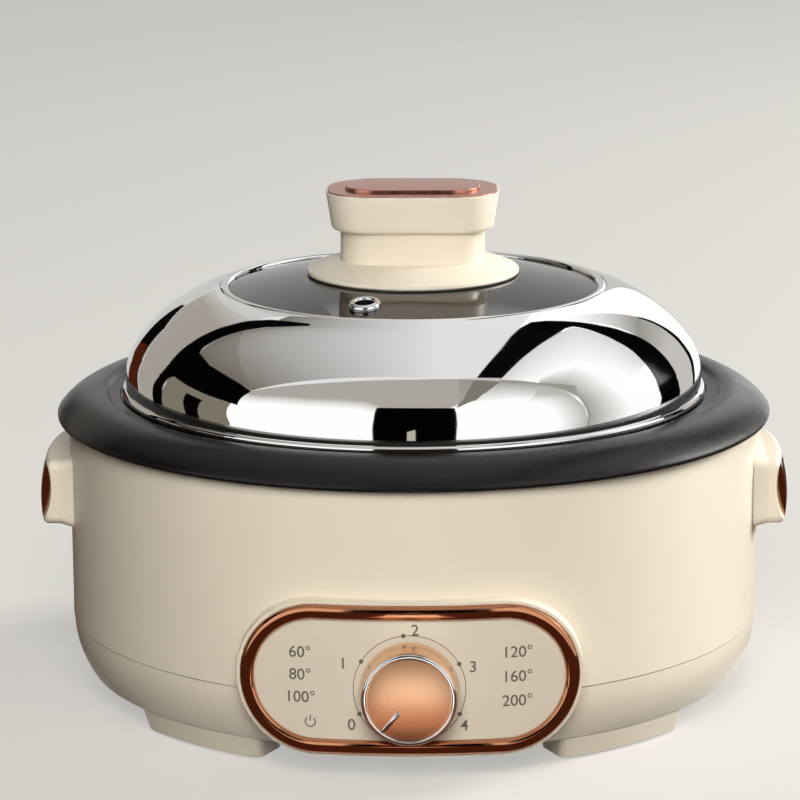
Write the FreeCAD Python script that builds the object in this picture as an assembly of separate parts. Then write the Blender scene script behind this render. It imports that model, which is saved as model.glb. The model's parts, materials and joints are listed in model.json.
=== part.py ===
import FreeCAD, Part
import math
import os

# Electric hot pot with a lift-off lid. Millimetres, +Z up, control panel towards -Y.
# The origin lies on the table, under the axis of the pot.

V = FreeCAD.Vector
UP = V(0, 0, 1)
BACK = V(0, 1, 0)
RIGHT = V(1, 0, 0)

# ---- Housing ---------------------------------------------------------------
body_radius = 155.0        # outside of the round wall
shell_wall = 2.6           # moulded wall of housing, bowl, boss and feet
base_height = 10.5         # underside of the lower bowl
seam_height = 35.0         # joint of the bowl and the upper housing
seam_gap = 0.5             # open groove at that joint
seam_inset = 0.3           # the bowl stands this much inside the housing
seam_lap = 4.0             # tongue of the housing inside the bowl
tongue_wall = 2.0
tongue_play = 0.5          # between the tongue and the bowl
bowl_curve = 44.0          # radius of the bowl's side
bottom_round = 1.5         # edge of the bowl's underside
housing_top = 125.8        # seat of the pot's rim
seat_width = 10.0          # width of that seat
seat_skirt = 8.0           # stiffening lip that hangs from the seat
edge_round = 1.2
slot_ring = 56.0           # cooling slots in the bowl's bottom
slot_length = 25.0
slot_width = 3.0
slot_count = 24

# ---- Feet ------------------------------------------------------------------
foot_angle = 40.0          # of each foot from the front or back line
foot_sweep_angle = 28.0           # angle that a foot covers
foot_inset = 8.0           # the foot's edge inside the wall
foot_width = 25.0
foot_taper = 3.0
foot_lift = 1.0            # the foot's edge over the table
foot_corner = 4.0
pad_sweep_angle = 17.0
pad_width = 12.0
pad_height = 3.6
pad_gap = 0.2

# ---- Control panel ---------------------------------------------------------
panel_width = 142.3        # outside of the bezel ring
panel_height = 64.0
panel_rise = 2.5           # the bezel's lowest edge over the bowl's underside
panel_stand = 5.0          # front of the boss beyond the wall, at the middle
panel_curve = 230.0        # radius of the boss's front, in plan
boss_lip = 1.35            # edge of the boss round the bezel
boss_depth = 17.0          # of the boss's rim behind its front, at the middle
pocket_depth = 1.6
floor_wall = 2.4
bezel_width = 6.0
bezel_rise = 4.6           # bezel ring from its seat to its crown
bezel_round = 2.7
panel_thickness = 2.0
trim_gap = 0.1             # round trim pieces

# ---- Dial and its switch ---------------------------------------------------
dial_drop = 4.0            # the dial's axis below the panel's centre
dial_base_radius = 20.7
dial_front_radius = 19.9
dial_depth = 14.0
dial_gap = 0.8             # between the dial and the panel plate
dial_wall = 1.9
dial_front_wall = 2.2
dial_hub_radius = 6.0
dial_recess = 1.2
dial_edge = 0.9
dial_land = 0.7            # flat of the dial's edge inside its chamfer
pointer_angle = 231.0      # at rest, anticlockwise from +X seen from the front
pointer_inner = 6.5
pointer_outer = 17.3
pointer_width = 1.9
pointer_rise = 0.8
shaft_radius = 3.0
shaft_flat = 1.5           # flat of the D, from the axis
shaft_flat_length = 8.0
shaft_clearance = 0.06     # running clearance in the bush
shaft_depth = 16.0         # of the shaft inside the switch
bush_radius = 5.0
bush_length = 9.1
nut_flats = 14.0
nut_height = 3.0
nut_margin = 3.0           # of the panel plate's hole round the nut
switch_width = 34.0
switch_depth = 23.5
switch_pad = 1.8           # thickness of the flat behind the boss
tab_length = 8.0
tab_width = 6.3
tab_thickness = 0.8
tab_pitch = 6.0
lamp_side = 42.5           # of the lamp from the panel's centre, to the left
lamp_drop = 17.4
lamp_radius = 4.5
lamp_length = 12.0
lamp_pipe_radius = 2.4

# ---- Handles ---------------------------------------------------------------
handle_drop = 32.5         # the handle's centre below the housing's top
handle_length = 12.0       # of the grip beyond the wall
handle_span = 66.0         # along Y
handle_height = 29.0
handle_corner = 4.2
handle_slant = 5.0         # lean of the grip's end, its foot outermost
handle_flare = 0.7         # growth of the root on each side, at the wall
handle_root = 3.0          # length of the flared root
handle_round = 2.5
handle_play = 0.1          # between the handle and the wall
scoop_depth = 2.3
scoop_chord = 25.0
cap_bulge = 1.3            # end cap beyond the grip's end
cap_span = 54.0
handle_screw_y = 18.0
handle_boss_radius = 4.5
handle_rib = 1.8
handle_pad = 3.4           # boss inside the wall, under each handle screw's head
handle_pad_radius = 5.5
handle_screw_radius = 1.9
handle_screw_head = 3.6
handle_screw_length = 11.0

# ---- Pot -------------------------------------------------------------------
rim_overhang = 5.0         # the rim's edge beyond the housing's wall
rim_width = 35.0           # from the rim's edge in to the mouth
rim_drop = 0.9             # the rim's lip below its seat
rim_lip = 2.8
rim_sheet = 3.0            # thickness of the rim over its seat ring
rim_bulge = 2.3            # of the rim over the straight line from lip to crest
seat_ring_inset = 1.0      # ring under the rim that stands on the housing
seat_ring_width = 3.5
crest_inset = 20.0         # the crest inside the rim's edge
crest_rise = 11.0          # the crest over the housing's top
crest_round = 2.4
shelf_drop = 2.4           # step below the crest that the lid sits in
shelf_play = 7.0           # between the lid and the step's outer wall
shelf_step = 0.8
shelf_step_play = 2.4      # between the lid and the second, inner step
pot_wall = 3.0
pot_draft = 9.0            # the wall draws in this much down to the bottom curve
pot_depth = 77.8           # underside of the pot below the housing's top
pot_floor = 4.0
pot_corner = 22.0
mouth_round = 1.5
seat_gap = 0.3             # between parts that rest on each other

# ---- Lid -------------------------------------------------------------------
lid_lap = 4.4              # the lid's edge beyond the mouth
lid_sheet = 1.0
bead_radius = 1.8
shoulder_rise = 6.3        # height of the dome's upright edge over its bead
dome_side_curve = 24.0
dome_side_angle = 35.0
dome_top_curve = 66.0
dome_width = 42.8          # from the lid's edge in to the glass ring
ring_width = 2.6           # of the glass ring outside the glass
ring_crown = 2.0
ring_lap = 3.2             # of the ring under the glass
ring_sheet = 1.0
glass_drop = 1.5           # the glass's edge below the dome's top edge
glass_curve = 366.0
glass_thickness = 4.0
glass_play = 0.15          # of gaskets and flanges on the glass
vent_share = 0.534         # of the way from the knob's flange out to the glass's edge
vent_angle = -107.3
vent_bore = 4.2
vent_sleeve = 1.0
vent_flange = 7.0
vent_rise = 2.6
vent_tail = 1.6

# ---- Knob of the lid -------------------------------------------------------
flange_radius = 47.5
flange_edge = 2.6
flange_rise = 3.8          # of its middle over the glass's crown
flange_seat = 0.9          # flat of its middle beyond the neck
neck_length = 64.4
neck_depth = 40.0
neck_corner = 15.0
neck_height = 14.2
cup_flare = 4.4            # growth of the cup from its foot to its top
cup_length = 77.0
cup_depth = 51.0
cup_corner = 19.5
cup_height = 16.9
cup_round = 2.0
cup_lip = 0.9
plate_sink = 2.3
plate_rise = 0.4
tile_length = 60.0
tile_depth = 33.0
tile_corner = 13.0
tile_rise = 1.7
tile_round = 0.7
knob_wall = 3.0
knob_rib = 1.8
knob_stem_radius = 6.0
knob_screw_radius = 2.5
knob_screw_head = 4.6
knob_screw_depth = 15.0    # of the screw in the knob
washer_radius = 12.0
washer_thickness = 1.2
seal_thickness = 1.5

# ---- Heater ----------------------------------------------------------------
plate_radius = 92.0
plate_thickness = 7.0
plate_edge = 2.0
rib_depth = 4.0
rib_wall = 2.4
element_inset = 24.0       # of the element's ring from the plate's edge
element_radius = 4.0
element_sweep_angle = 320.0
element_leg = 6.0
element_pin = 2.5
element_pin_radius = 1.5
post_inset = 8.0           # of the plate's posts from its edge
post_radius = 4.0
post_angles = (30.0, 150.0, 270.0)
plate_post_radius = 6.0    # posts of the bowl under the reflector
plate_screw_radius = 2.0
plate_screw_head = 4.0
plate_screw_sink = 5.0     # recess of the plate screws' heads in the bowl
plate_thread = 4.5         # depth of the screws in the heating plate
reflector_radius = 118.0
reflector_slope = 14.0     # width of the reflector's sloping side
reflector_lip = 4.0
reflector_lift = 13.0      # of the reflector's floor over the bowl's
reflector_height = 17.9
reflector_sheet = 0.8
reflector_hole = 18.0
cutoff_radius = 8.0
cutoff_height = 9.7
cutoff_screw_x = 13.5
cutoff_ear = 4.0
cutoff_sheet = 1.0
cutoff_screw_length = 5.0
cutoff_screw_head = 2.8
fuse_radius = 3.2
fuse_length = 14.0
fuse_y = 36.0

# ---- Mains inlet -----------------------------------------------------------
inlet_z = 60.0
inlet_sink = 4.4           # the inlet's flat inside the round wall
inlet_width = 27.0
inlet_height = 19.6
inlet_depth = 23.0
inlet_cavity_depth = 16.0
inlet_wall = 1.5
inlet_play = 0.3
inlet_recess = 3.2         # flat of the housing round the inlet
inlet_border = 2.0
inlet_flange = 4.5
inlet_lip = 1.4
inlet_screw_x = 20.0
inlet_screw_length = 6.5
inlet_screw_head = 2.9
pin_width = 2.0
pin_height = 4.0
pin_tail = 4.0
pin_sink = 2.0             # of the pins' tips behind the inlet's face
pin_places = ((-7.0, -2.0), (7.0, -2.0), (0.0, 4.0))
block_inset = 17.0         # of the terminal block from the reflector's edge
block_length = 18.0
block_width = 32.0
block_height = 11.4
block_pitch = 10.0
block_bore = 2.0
block_bore_rise = 4.5

# ---- Screws ----------------------------------------------------------------
base_screw_inset = 16.0    # of the base screws from the wall
base_screw_angles = (-25.0, 25.0, 70.0, 110.0, 155.0, 205.0)
base_screw_length = 14.0
column_radius = 4.5
column_top = 56.0
column_rib = 2.4
screw_boss = 3.0           # height of the bowl's boss round each base screw
screw_sink = 2.6           # recess of the base screws' heads
screw_radius = 1.5
screw_head_radius = 3.2
screw_head_height = 2.2
screw_play = 0.1
head_play = 0.4

# ---- Sizes that follow -----------------------------------------------------
inner_radius = body_radius - shell_wall
seat_radius = body_radius - seat_width
bowl_radius = body_radius - seam_inset
bowl_centre = bowl_radius - bowl_curve
bowl_floor = base_height + shell_wall
foot_outer = body_radius - foot_inset
base_screw_ring = body_radius - base_screw_inset

panel_z = base_height + panel_rise + panel_height / 2
panel_front = body_radius + panel_stand
panel_axis_y = panel_curve - panel_front
pocket_curve = panel_curve - pocket_depth
floor_curve = pocket_curve - floor_wall
face_curve = pocket_curve + panel_thickness
bezel_curve = pocket_curve + bezel_rise
dial_z = panel_z - dial_drop
lamp_z = panel_z - lamp_drop
switch_face = panel_axis_y - floor_curve + 1.5
nut_face = panel_axis_y - pocket_curve - 0.5
dial_base = panel_axis_y - face_curve - dial_gap
dial_front = dial_base - dial_depth
dial_floor = dial_front + dial_recess
bush_tip = switch_face - bush_length
hub_base = bush_tip - 0.9

handle_z = housing_top - handle_drop
handle_reach = body_radius + handle_length
handle_pad_face = inner_radius - handle_pad + 0.5

rim_radius = body_radius + rim_overhang
mouth_radius = rim_radius - rim_width
crest_radius = rim_radius - crest_inset
crest_height = housing_top + crest_rise
shelf_height = crest_height - shelf_drop
pot_bottom = housing_top - pot_depth
lid_radius = mouth_radius + lid_lap
shelf_outer = lid_radius + shelf_play
shelf_inner = lid_radius + shelf_step_play
bead_height = shelf_height - shelf_step + seat_gap + bead_radius
dome_shoulder = bead_height + shoulder_rise
ring_outer = lid_radius - dome_width
glass_radius = ring_outer - ring_width
side_centre = lid_radius - dome_side_curve
curve_shift = dome_top_curve - dome_side_curve
top_centre = side_centre - curve_shift * math.cos(math.radians(dome_side_angle))
top_centre_z = dome_shoulder - curve_shift * math.sin(math.radians(dome_side_angle))
dome_edge = ring_outer + trim_gap - top_centre
dome_top = top_centre_z + math.sqrt(dome_top_curve ** 2 - dome_edge ** 2)
glass_centre = dome_top - glass_drop - math.sqrt(glass_curve ** 2 - glass_radius ** 2)
glass_crown = glass_centre + glass_curve
neck_base = glass_crown + flange_rise
neck_top = neck_base + neck_height
cup_top = neck_top + cup_height
plate_seat = cup_top - plate_sink
plate_face = cup_top + plate_rise

plate_top = pot_bottom - seat_gap
plate_under = plate_top - plate_thickness
rib_under = plate_under - rib_depth
element_ring = plate_radius - element_inset
post_ring = plate_radius - post_inset
reflector_floor = bowl_floor + reflector_lift
reflector_rim = reflector_floor + reflector_height
plate_head_height = base_height + plate_screw_sink
post_bore = plate_screw_radius + 2 * screw_play
inlet_face = body_radius - inlet_sink
block_y = reflector_radius - block_inset
beyond = body_radius       # how far a cutter or a blank runs past what it cuts

nodes = {}


# ---- Helpers ---------------------------------------------------------------
def flat_wire(start, steps, place):
    """Closed wire from (a, b) points; a step of two points is an arc through the first to the second."""
    edges = []
    here = start
    for step in list(steps) + [start]:
        if isinstance(step[0], tuple):
            mid, end = step
            edges.append(Part.Arc(place(here), place(mid), place(end)).toShape())
        elif step != here:
            end = step
            edges.append(Part.makeLine(place(here), place(end)))
        here = end
    return Part.Wire(edges)


def outward(shape):
    """The same solid with its faces pointing out."""
    return shape.reversed() if shape.Volume < 0 else shape


def turned(start, *steps):
    """Full turn about Z of an outline of (r, z) points."""
    wire = flat_wire(start, steps, lambda p: V(p[0], 0, p[1]))
    return outward(Part.Face(wire).revolve(V(0, 0, 0), UP, 360))


def turned_dial(start, *steps):
    """Full turn about the dial's axis of an outline of (r, y) points."""
    wire = flat_wire(start, steps, lambda p: V(p[0], p[1], dial_z))
    return outward(Part.Face(wire).revolve(V(0, 0, dial_z), BACK, 360))


def cylinder(radius, base, direction, length):
    return Part.makeCylinder(radius, length, base, direction)


def drill(radius, point, direction):
    """Cutter for a hole right through whatever lies round a point."""
    return cylinder(radius, point - direction * beyond, direction, 2 * beyond)


def block(x0, x1, y0, y1, z0, z1):
    return Part.makeBox(x1 - x0, y1 - y0, z1 - z0, V(x0, y0, z0))


def stadium_face(length, width, place):
    """Face with straight sides and half-round ends, centred on place's origin."""
    r = width / 2
    s = length / 2 - r
    wire = flat_wire((-s, -r), [(s, -r), ((s + r, 0), (s, r)), (-s, r), ((-s - r, 0), (-s, -r))], place)
    return Part.Face(wire)


def stadium_front(length, height, y0, y1):
    """Stadium prism along Y round the panel's centre."""
    face = stadium_face(length, height, lambda p: V(p[0], y0, panel_z + p[1]))
    return face.extrude(V(0, y1 - y0, 0))


def panel_prism(margin):
    """Stadium prism through the panel, that much outside the bezel all round."""
    return stadium_front(panel_width + 2 * margin, panel_height + 2 * margin,
                         -panel_front - beyond, -panel_front / 2)


def rounded_wire(width, height, corner, place):
    """Rectangle with round corners, centred on place's origin."""
    a = width / 2
    b = height / 2
    c = corner
    k = c * (1 - math.sqrt(0.5))
    steps = [(a - c, -b), ((a - k, -b + k), (a, -b + c)), (a, b - c), ((a - k, b - k), (a - c, b)),
             (-a + c, b), ((-a + k, b - k), (-a, b - c)), (-a, -b + c), ((-a + k, -b + k), (-a + c, -b))]
    return flat_wire((-a + c, -b), steps, place)


def rounded_top(length, depth, corner, z0, z1):
    """Upright block with round corners, on the pot's axis."""
    face = Part.Face(rounded_wire(length, depth, corner, lambda p: V(p[0], p[1], z0)))
    return face.extrude(V(0, 0, z1 - z0))


def panel_drum(curve):
    """Upright drum whose front is one of the panel's curved surfaces."""
    return cylinder(curve, V(0, panel_axis_y, 0), UP, housing_top)


def axis_drum(radius):
    return cylinder(radius, V(0, 0, 0), UP, housing_top)


def polar(radius, angle, z=0.0):
    a = math.radians(angle)
    return V(radius * math.cos(a), radius * math.sin(a), z)


def ring_of(shape, angles):
    """Copies of a shape, each turned about Z by one of the angles."""
    return [shape.rotated(V(0, 0, 0), UP, a) for a in angles]


def fused(first, *others):
    return first.fuse(list(others)).removeSplitter()


def save(name, *shapes):
    solids = [outward(solid) for shape in shapes for solid in shape.Solids]
    nodes[name] = solids[0] if len(solids) == 1 else Part.makeCompound(solids)


def screw(head, direction, length, radius=screw_radius, head_radius=screw_head_radius,
          head_height=screw_head_height):
    """Pan-head screw whose head's underside is at head and whose shank runs along direction."""
    shank = cylinder(radius, head, direction, length)
    cap = cylinder(head_radius, head - direction * head_height, direction, head_height)
    return shank.fuse(cap).removeSplitter()


# ---- Housing ---------------------------------------------------------------
def bowl_side(curve, z):
    """Radius of the bowl's side, or of a surface parallel to it, at a height."""
    return bowl_centre + math.sqrt(curve ** 2 - (seam_height - z) ** 2)


def bowl_body(curve, floor):
    """Solid with the bowl's curved side, from floor up to the seam."""
    top = seam_height - seam_gap / 2
    middle = (floor + top) / 2
    return turned((0, floor), (bowl_side(curve, floor), floor),
                  ((bowl_side(curve, middle), middle), (bowl_side(curve, top), top)), (0, top))


def housing_wall():
    low = seam_height + seam_gap / 2
    tongue_out = bowl_radius - shell_wall - tongue_play
    tongue_in = tongue_out - tongue_wall
    root = seam_height + seam_lap
    r = edge_round
    return turned(
        (body_radius, low),
        (body_radius, housing_top - r),
        ((body_radius - 0.3 * r, housing_top - 0.3 * r), (body_radius - r, housing_top)),
        (seat_radius, housing_top),
        (seat_radius, housing_top - seat_skirt),
        (seat_radius + shell_wall, housing_top - seat_skirt),
        (seat_radius + shell_wall, housing_top - shell_wall),
        (inner_radius, housing_top - shell_wall),
        (inner_radius, root + shell_wall),
        (tongue_in, root),
        (tongue_in, seam_height - seam_lap),
        (tongue_out, seam_height - seam_lap),
        (tongue_out, low))


def panel_boss():
    rim = panel_prism(boss_lip).common(panel_drum(panel_curve))
    return rim.cut(axis_drum(panel_front - boss_depth))


def column():
    """Screw column of the housing, with the rib that ties it to the wall."""
    foot = bowl_floor + screw_boss + trim_gap
    post = cylinder(column_radius, V(base_screw_ring, 0, foot), UP, column_top - foot)
    half = column_rib / 2
    web = block(base_screw_ring, inner_radius + shell_wall / 2, -half, half,
                seam_height + seam_lap, column_top)
    return post.fuse(web)


def inlet_flat(border, y0, y1):
    """Block behind or before the inlet's flat, that much larger than its recess."""
    half_x = inlet_screw_x + 2 * inlet_recess + border
    half_z = inlet_height / 2 + inlet_recess + border
    return block(-half_x, half_x, y0, y1, inlet_z - half_z, inlet_z + half_z)


def handle_screw_places():
    """Side (-1 or 1) and Y of each screw that holds a handle."""
    return [(side, y) for side in (-1, 1) for y in (-handle_screw_y, handle_screw_y)]


def make_upper_housing():
    pads = [cylinder(handle_pad_radius, V(side * handle_pad_face, y, handle_z), RIGHT * side, handle_pad)
            for side, y in handle_screw_places()]
    inlet_wall_block = inlet_flat(inlet_border, inlet_face - shell_wall, inlet_face)
    columns = ring_of(column(), base_screw_angles)
    body = housing_wall().fuse([panel_boss(), inlet_wall_block] + columns + pads)
    inner = panel_prism(boss_lip - shell_wall)
    pocket = panel_prism(trim_gap).cut(panel_drum(pocket_curve))
    body = body.cut([inner.common(panel_drum(floor_curve)), pocket])
    half = switch_width / 2 + 1
    pad = block(-half, half, switch_face - switch_pad, switch_face, dial_z - half, dial_z + half)
    nut_pad = cylinder(nut_flats / 2 + nut_margin - 0.5, V(0, nut_face, dial_z), BACK, floor_wall / 2)
    body = body.fuse([pad.common(inner), nut_pad])

    bush_hole = cylinder(bush_radius + pad_gap, V(0, -2 * panel_front, dial_z), BACK, 1.5 * panel_front)
    lamp_hole = cylinder(lamp_pipe_radius + pad_gap, V(-lamp_side, -2 * panel_front, lamp_z), BACK,
                         1.5 * panel_front)
    hole_x = inlet_width / 2 + inlet_play
    hole_z = inlet_height / 2 + inlet_play
    socket_hole = block(-hole_x, hole_x, inlet_face / 2, inlet_face + 1,
                        inlet_z - hole_z, inlet_z + hole_z)
    tools = [bush_hole, lamp_hole, socket_hole, inlet_flat(0, inlet_face, inlet_face + beyond)]
    for x in (-inlet_screw_x, inlet_screw_x):
        tools.append(cylinder(screw_radius + screw_play, V(x, inlet_face / 2, inlet_z), BACK, beyond))
    for side, y in handle_screw_places():
        tools.append(cylinder(handle_screw_radius + screw_play, V(side * handle_pad_face, y, handle_z),
                              RIGHT * side, beyond))
    bore = cylinder(screw_radius + screw_play, V(base_screw_ring, 0, bowl_floor), UP,
                    base_screw_length + screw_boss)
    body = body.cut(tools + ring_of(bore, base_screw_angles))
    save("upper_housing", body.removeSplitter())


def vent_slots():
    slot = stadium_face(slot_length, slot_width, lambda p: V(slot_ring + p[0], p[1], base_height - 1))
    slot = slot.extrude(V(0, 0, shell_wall + 2))
    return ring_of(slot, [360.0 / slot_count * i for i in range(slot_count)])


def make_lower_bowl():
    body = bowl_body(bowl_curve, base_height)
    rim = [e for e in body.Edges if abs(e.BoundBox.ZMax - base_height) < 0.01]
    body = body.makeFillet(bottom_round, rim)
    body = body.cut(bowl_body(bowl_curve - shell_wall, bowl_floor).fuse(
        cylinder(bowl_side(bowl_curve - shell_wall, seam_height - 1), V(0, 0, seam_height - 1), UP, 2)))
    post_foot = V(post_ring, 0, bowl_floor - 1)
    screw_foot = V(base_screw_ring, 0, bowl_floor - 1)
    post_height = reflector_floor - bowl_floor + 1
    posts = ring_of(cylinder(plate_post_radius, post_foot, UP, post_height), post_angles)
    bosses = ring_of(cylinder(column_radius, screw_foot, UP, screw_boss + 1), base_screw_angles)
    body = body.fuse(posts + bosses)
    straight = (panel_width - panel_height) / 2
    sill = block(-straight, straight, -panel_front - beyond, -panel_front / 2, 0, panel_z)
    notch = panel_prism(boss_lip + seam_gap).fuse(sill)
    tools = [notch.cut(axis_drum(panel_front - boss_depth - 1))]
    post = V(post_ring, 0, 0)
    tools += ring_of(drill(post_bore, post, UP), post_angles)
    tools += ring_of(cylinder(plate_screw_head + head_play, post, UP, plate_head_height), post_angles)
    place = V(base_screw_ring, 0, 0)
    head_recess = cylinder(screw_head_radius + head_play, place, UP, base_height + screw_sink)
    tools += ring_of(drill(screw_radius + head_play, place, UP), base_screw_angles)
    tools += ring_of(head_recess, base_screw_angles)
    tools += vent_slots()
    save("lower_bowl", body.cut(tools).removeSplitter())


def make_base_screws():
    one = screw(V(base_screw_ring, 0, base_height + screw_sink), UP, base_screw_length)
    save("base_screws", *ring_of(one, base_screw_angles))


# ---- Feet ------------------------------------------------------------------
def sector_wire(inner, outer, span, z):
    """Arc-shaped outline about the +X direction."""
    half = span / 2
    edges = [Part.Arc(polar(outer, -half, z), polar(outer, 0, z), polar(outer, half, z)).toShape(),
             Part.makeLine(polar(outer, half, z), polar(inner, half, z)),
             Part.Arc(polar(inner, half, z), polar(inner, 0, z), polar(inner, -half, z)).toShape(),
             Part.makeLine(polar(inner, -half, z), polar(outer, -half, z))]
    return Part.Wire(edges)


def sector(inner, outer, span, z0, z1):
    return Part.Face(sector_wire(inner, outer, span, z0)).extrude(V(0, 0, z1 - z0))


def make_feet():
    inner = foot_outer - foot_width
    shrink = math.degrees(foot_taper / foot_outer)
    top = sector_wire(inner, foot_outer, foot_sweep_angle, base_height)
    low = sector_wire(inner + foot_taper / 2, foot_outer - foot_taper, foot_sweep_angle - shrink,
                      foot_lift)
    foot = Part.makeLoft([low, top], True, True)
    upright = [e for e in foot.Edges if e.BoundBox.ZLength > 0.9 * (base_height - foot_lift)]
    foot = foot.makeFillet(foot_corner, upright)
    middle = foot_outer - foot_width / 2 - foot_taper / 4
    pad_in = middle - pad_width / 2
    pad_out = middle + pad_width / 2
    pad = sector(pad_in, pad_out, pad_sweep_angle, 0, pad_height)
    turn = math.degrees(pad_gap / middle)
    pocket = sector(pad_in - pad_gap, pad_out + pad_gap, pad_sweep_angle + 2 * turn, 0,
                    pad_height + trim_gap)
    side = math.degrees((shell_wall + foot_taper) / middle)
    hollow = sector(inner + shell_wall + foot_taper / 2, foot_outer - foot_taper - shell_wall,
                    foot_sweep_angle - 2 * side, pad_height + shell_wall, base_height)
    foot = foot.cut([pocket, hollow]).removeSplitter()
    for name, angle in (("front_right", -90 + foot_angle), ("front_left", -90 - foot_angle),
                        ("back_right", 90 - foot_angle), ("back_left", 90 + foot_angle)):
        save("foot_" + name, foot.rotated(V(0, 0, 0), UP, angle))
        save("pad_" + name, pad.rotated(V(0, 0, 0), UP, angle))


# ---- Panel -----------------------------------------------------------------
def make_panel():
    ring = panel_prism(0).cut(panel_prism(-bezel_width))
    ring = ring.common(panel_drum(bezel_curve)).cut(panel_drum(pocket_curve))
    crown = []
    for edge in ring.Edges:
        mid = edge.valueAt((edge.FirstParameter + edge.LastParameter) / 2)
        if abs(math.hypot(mid.x, mid.y - panel_axis_y) - bezel_curve) < 0.05:
            crown.append(edge)
    save("bezel_ring", ring.makeFillet(bezel_round, crown))

    plate = panel_prism(-bezel_width - trim_gap)
    plate = plate.common(panel_drum(face_curve)).cut(panel_drum(pocket_curve))
    hole = cylinder(nut_flats / 2 + nut_margin, V(0, -2 * panel_front, dial_z), BACK, 1.5 * panel_front)
    save("panel_plate", plate.cut(hole))


def make_lamp():
    """Indicator lamp: a can behind the boss and a light pipe through its wall."""
    seat = panel_axis_y - math.sqrt(floor_curve ** 2 - (lamp_side + lamp_radius) ** 2) + pad_gap
    front = panel_axis_y - math.sqrt(pocket_curve ** 2 - (lamp_side + lamp_pipe_radius) ** 2) + trim_gap
    pipe = cylinder(lamp_pipe_radius, V(-lamp_side, front, lamp_z), BACK, seat - front)
    can = cylinder(lamp_radius, V(-lamp_side, seat, lamp_z), BACK, lamp_length)
    save("power_lamp", fused(pipe, can))


# ---- Dial and switch -------------------------------------------------------
def at_rest_angle(shape):
    """Turns a shape built pointing along +X to the pointer's rest angle, seen from the front."""
    return shape.rotated(V(0, 0, dial_z), BACK, -pointer_angle)


def make_switch():
    half = switch_width / 2
    back = switch_face + switch_depth
    can = block(-half, half, switch_face, back, dial_z - half, dial_z + half)
    can = can.makeFillet(2.0, [e for e in can.Edges if e.BoundBox.YLength > 0.9 * switch_depth])
    bush = cylinder(bush_radius, V(0, bush_tip, dial_z), BACK, bush_length + 1)
    tabs = []
    for i in range(4):
        x = (i - 1.5) * tab_pitch
        tabs.append(block(x - tab_thickness / 2, x + tab_thickness / 2, back - 1, back + tab_length,
                          dial_z - tab_width / 2, dial_z + tab_width / 2))
    bore = cylinder(shaft_radius + shaft_clearance, V(0, bush_tip - 1, dial_z), BACK,
                    bush_length + shaft_depth + 1.6)
    save("control_switch", fused(can, bush, *tabs).cut(bore))

    corner = nut_flats / math.sqrt(3)
    corners = [V(0, nut_face, dial_z) + corner * V(math.cos(a), 0, math.sin(a))
               for a in (math.radians(60 * i) for i in range(7))]
    nut = Part.Face(Part.makePolygon(corners)).extrude(V(0, -nut_height, 0))
    save("switch_nut", nut.cut(drill(bush_radius + trim_gap / 2, V(0, nut_face, dial_z), BACK)))


def make_dial():
    tip = dial_floor + dial_front_wall + 0.2
    tail = switch_face + shaft_depth
    flat = block(-beyond, beyond, tip, tip + shaft_flat_length, dial_z + shaft_flat, dial_z + beyond)
    shaft = cylinder(shaft_radius, V(0, tip, dial_z), BACK, tail - tip).cut(flat)
    save("dial_shaft", at_rest_angle(shaft))

    bore = shaft_radius + trim_gap / 2
    under = dial_floor + dial_front_wall
    inside = dial_front_radius - dial_wall
    edge = dial_front_radius - dial_edge
    land = edge - dial_land
    body = turned_dial(
        (bore, hub_base), (bore, under), (0, under), (0, dial_floor),
        (land, dial_floor), (land, dial_front), (edge, dial_front),
        ((dial_front_radius - 0.25 * dial_edge, dial_front + 0.25 * dial_edge),
         (dial_front_radius, dial_front + dial_edge)),
        (dial_base_radius, dial_base), (dial_base_radius - dial_wall, dial_base),
        (inside, under), (dial_hub_radius, under), (dial_hub_radius, hub_base))
    above_flat = block(-beyond, beyond, -beyond - panel_front, 0,
                       dial_z + shaft_flat + trim_gap / 2, dial_z + beyond)
    key = cylinder(bore + 0.5, V(0, under, dial_z), BACK, shaft_flat_length - 0.4).common(above_flat)
    save("dial_body", body.fuse(at_rest_angle(key)).removeSplitter())

    rim = land - trim_gap
    face_front = dial_front + 0.2
    save("dial_face", turned_dial((0, dial_floor), (0, face_front), (rim - 0.2, face_front),
                                  (rim, face_front + 0.2), (rim, dial_floor)))

    middle = (pointer_outer + pointer_inner) / 2
    bar = stadium_face(pointer_outer - pointer_inner, pointer_width,
                       lambda p: V(middle + p[0], face_front, dial_z + p[1]))
    save("dial_pointer", at_rest_angle(bar.extrude(V(0, -pointer_rise, 0))))


# ---- Handles ---------------------------------------------------------------
def grip_face(x, span, height):
    """Rounded rectangle across X, at the handle's height."""
    return rounded_wire(span, height, handle_corner, lambda p: V(x, p[0], handle_z + p[1]))


def end_sweep(angle, start, *steps):
    """Turn about the pot's axis, evenly to both sides of +X, of an outline of (up, out) points.

    They are counted from the middle of the grip's leaning end, along that end and out from it.
    """
    lean = math.radians(handle_slant)
    across = V(-math.sin(lean), 0, math.cos(lean))
    out = V(math.cos(lean), 0, math.sin(lean))
    middle = V(handle_reach, 0, handle_z)
    wire = flat_wire(start, steps, lambda p: middle + across * p[0] + out * p[1])
    return outward(Part.Face(wire.rotated(V(0, 0, 0), UP, -angle / 2)).revolve(V(0, 0, 0), UP, angle))


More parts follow.
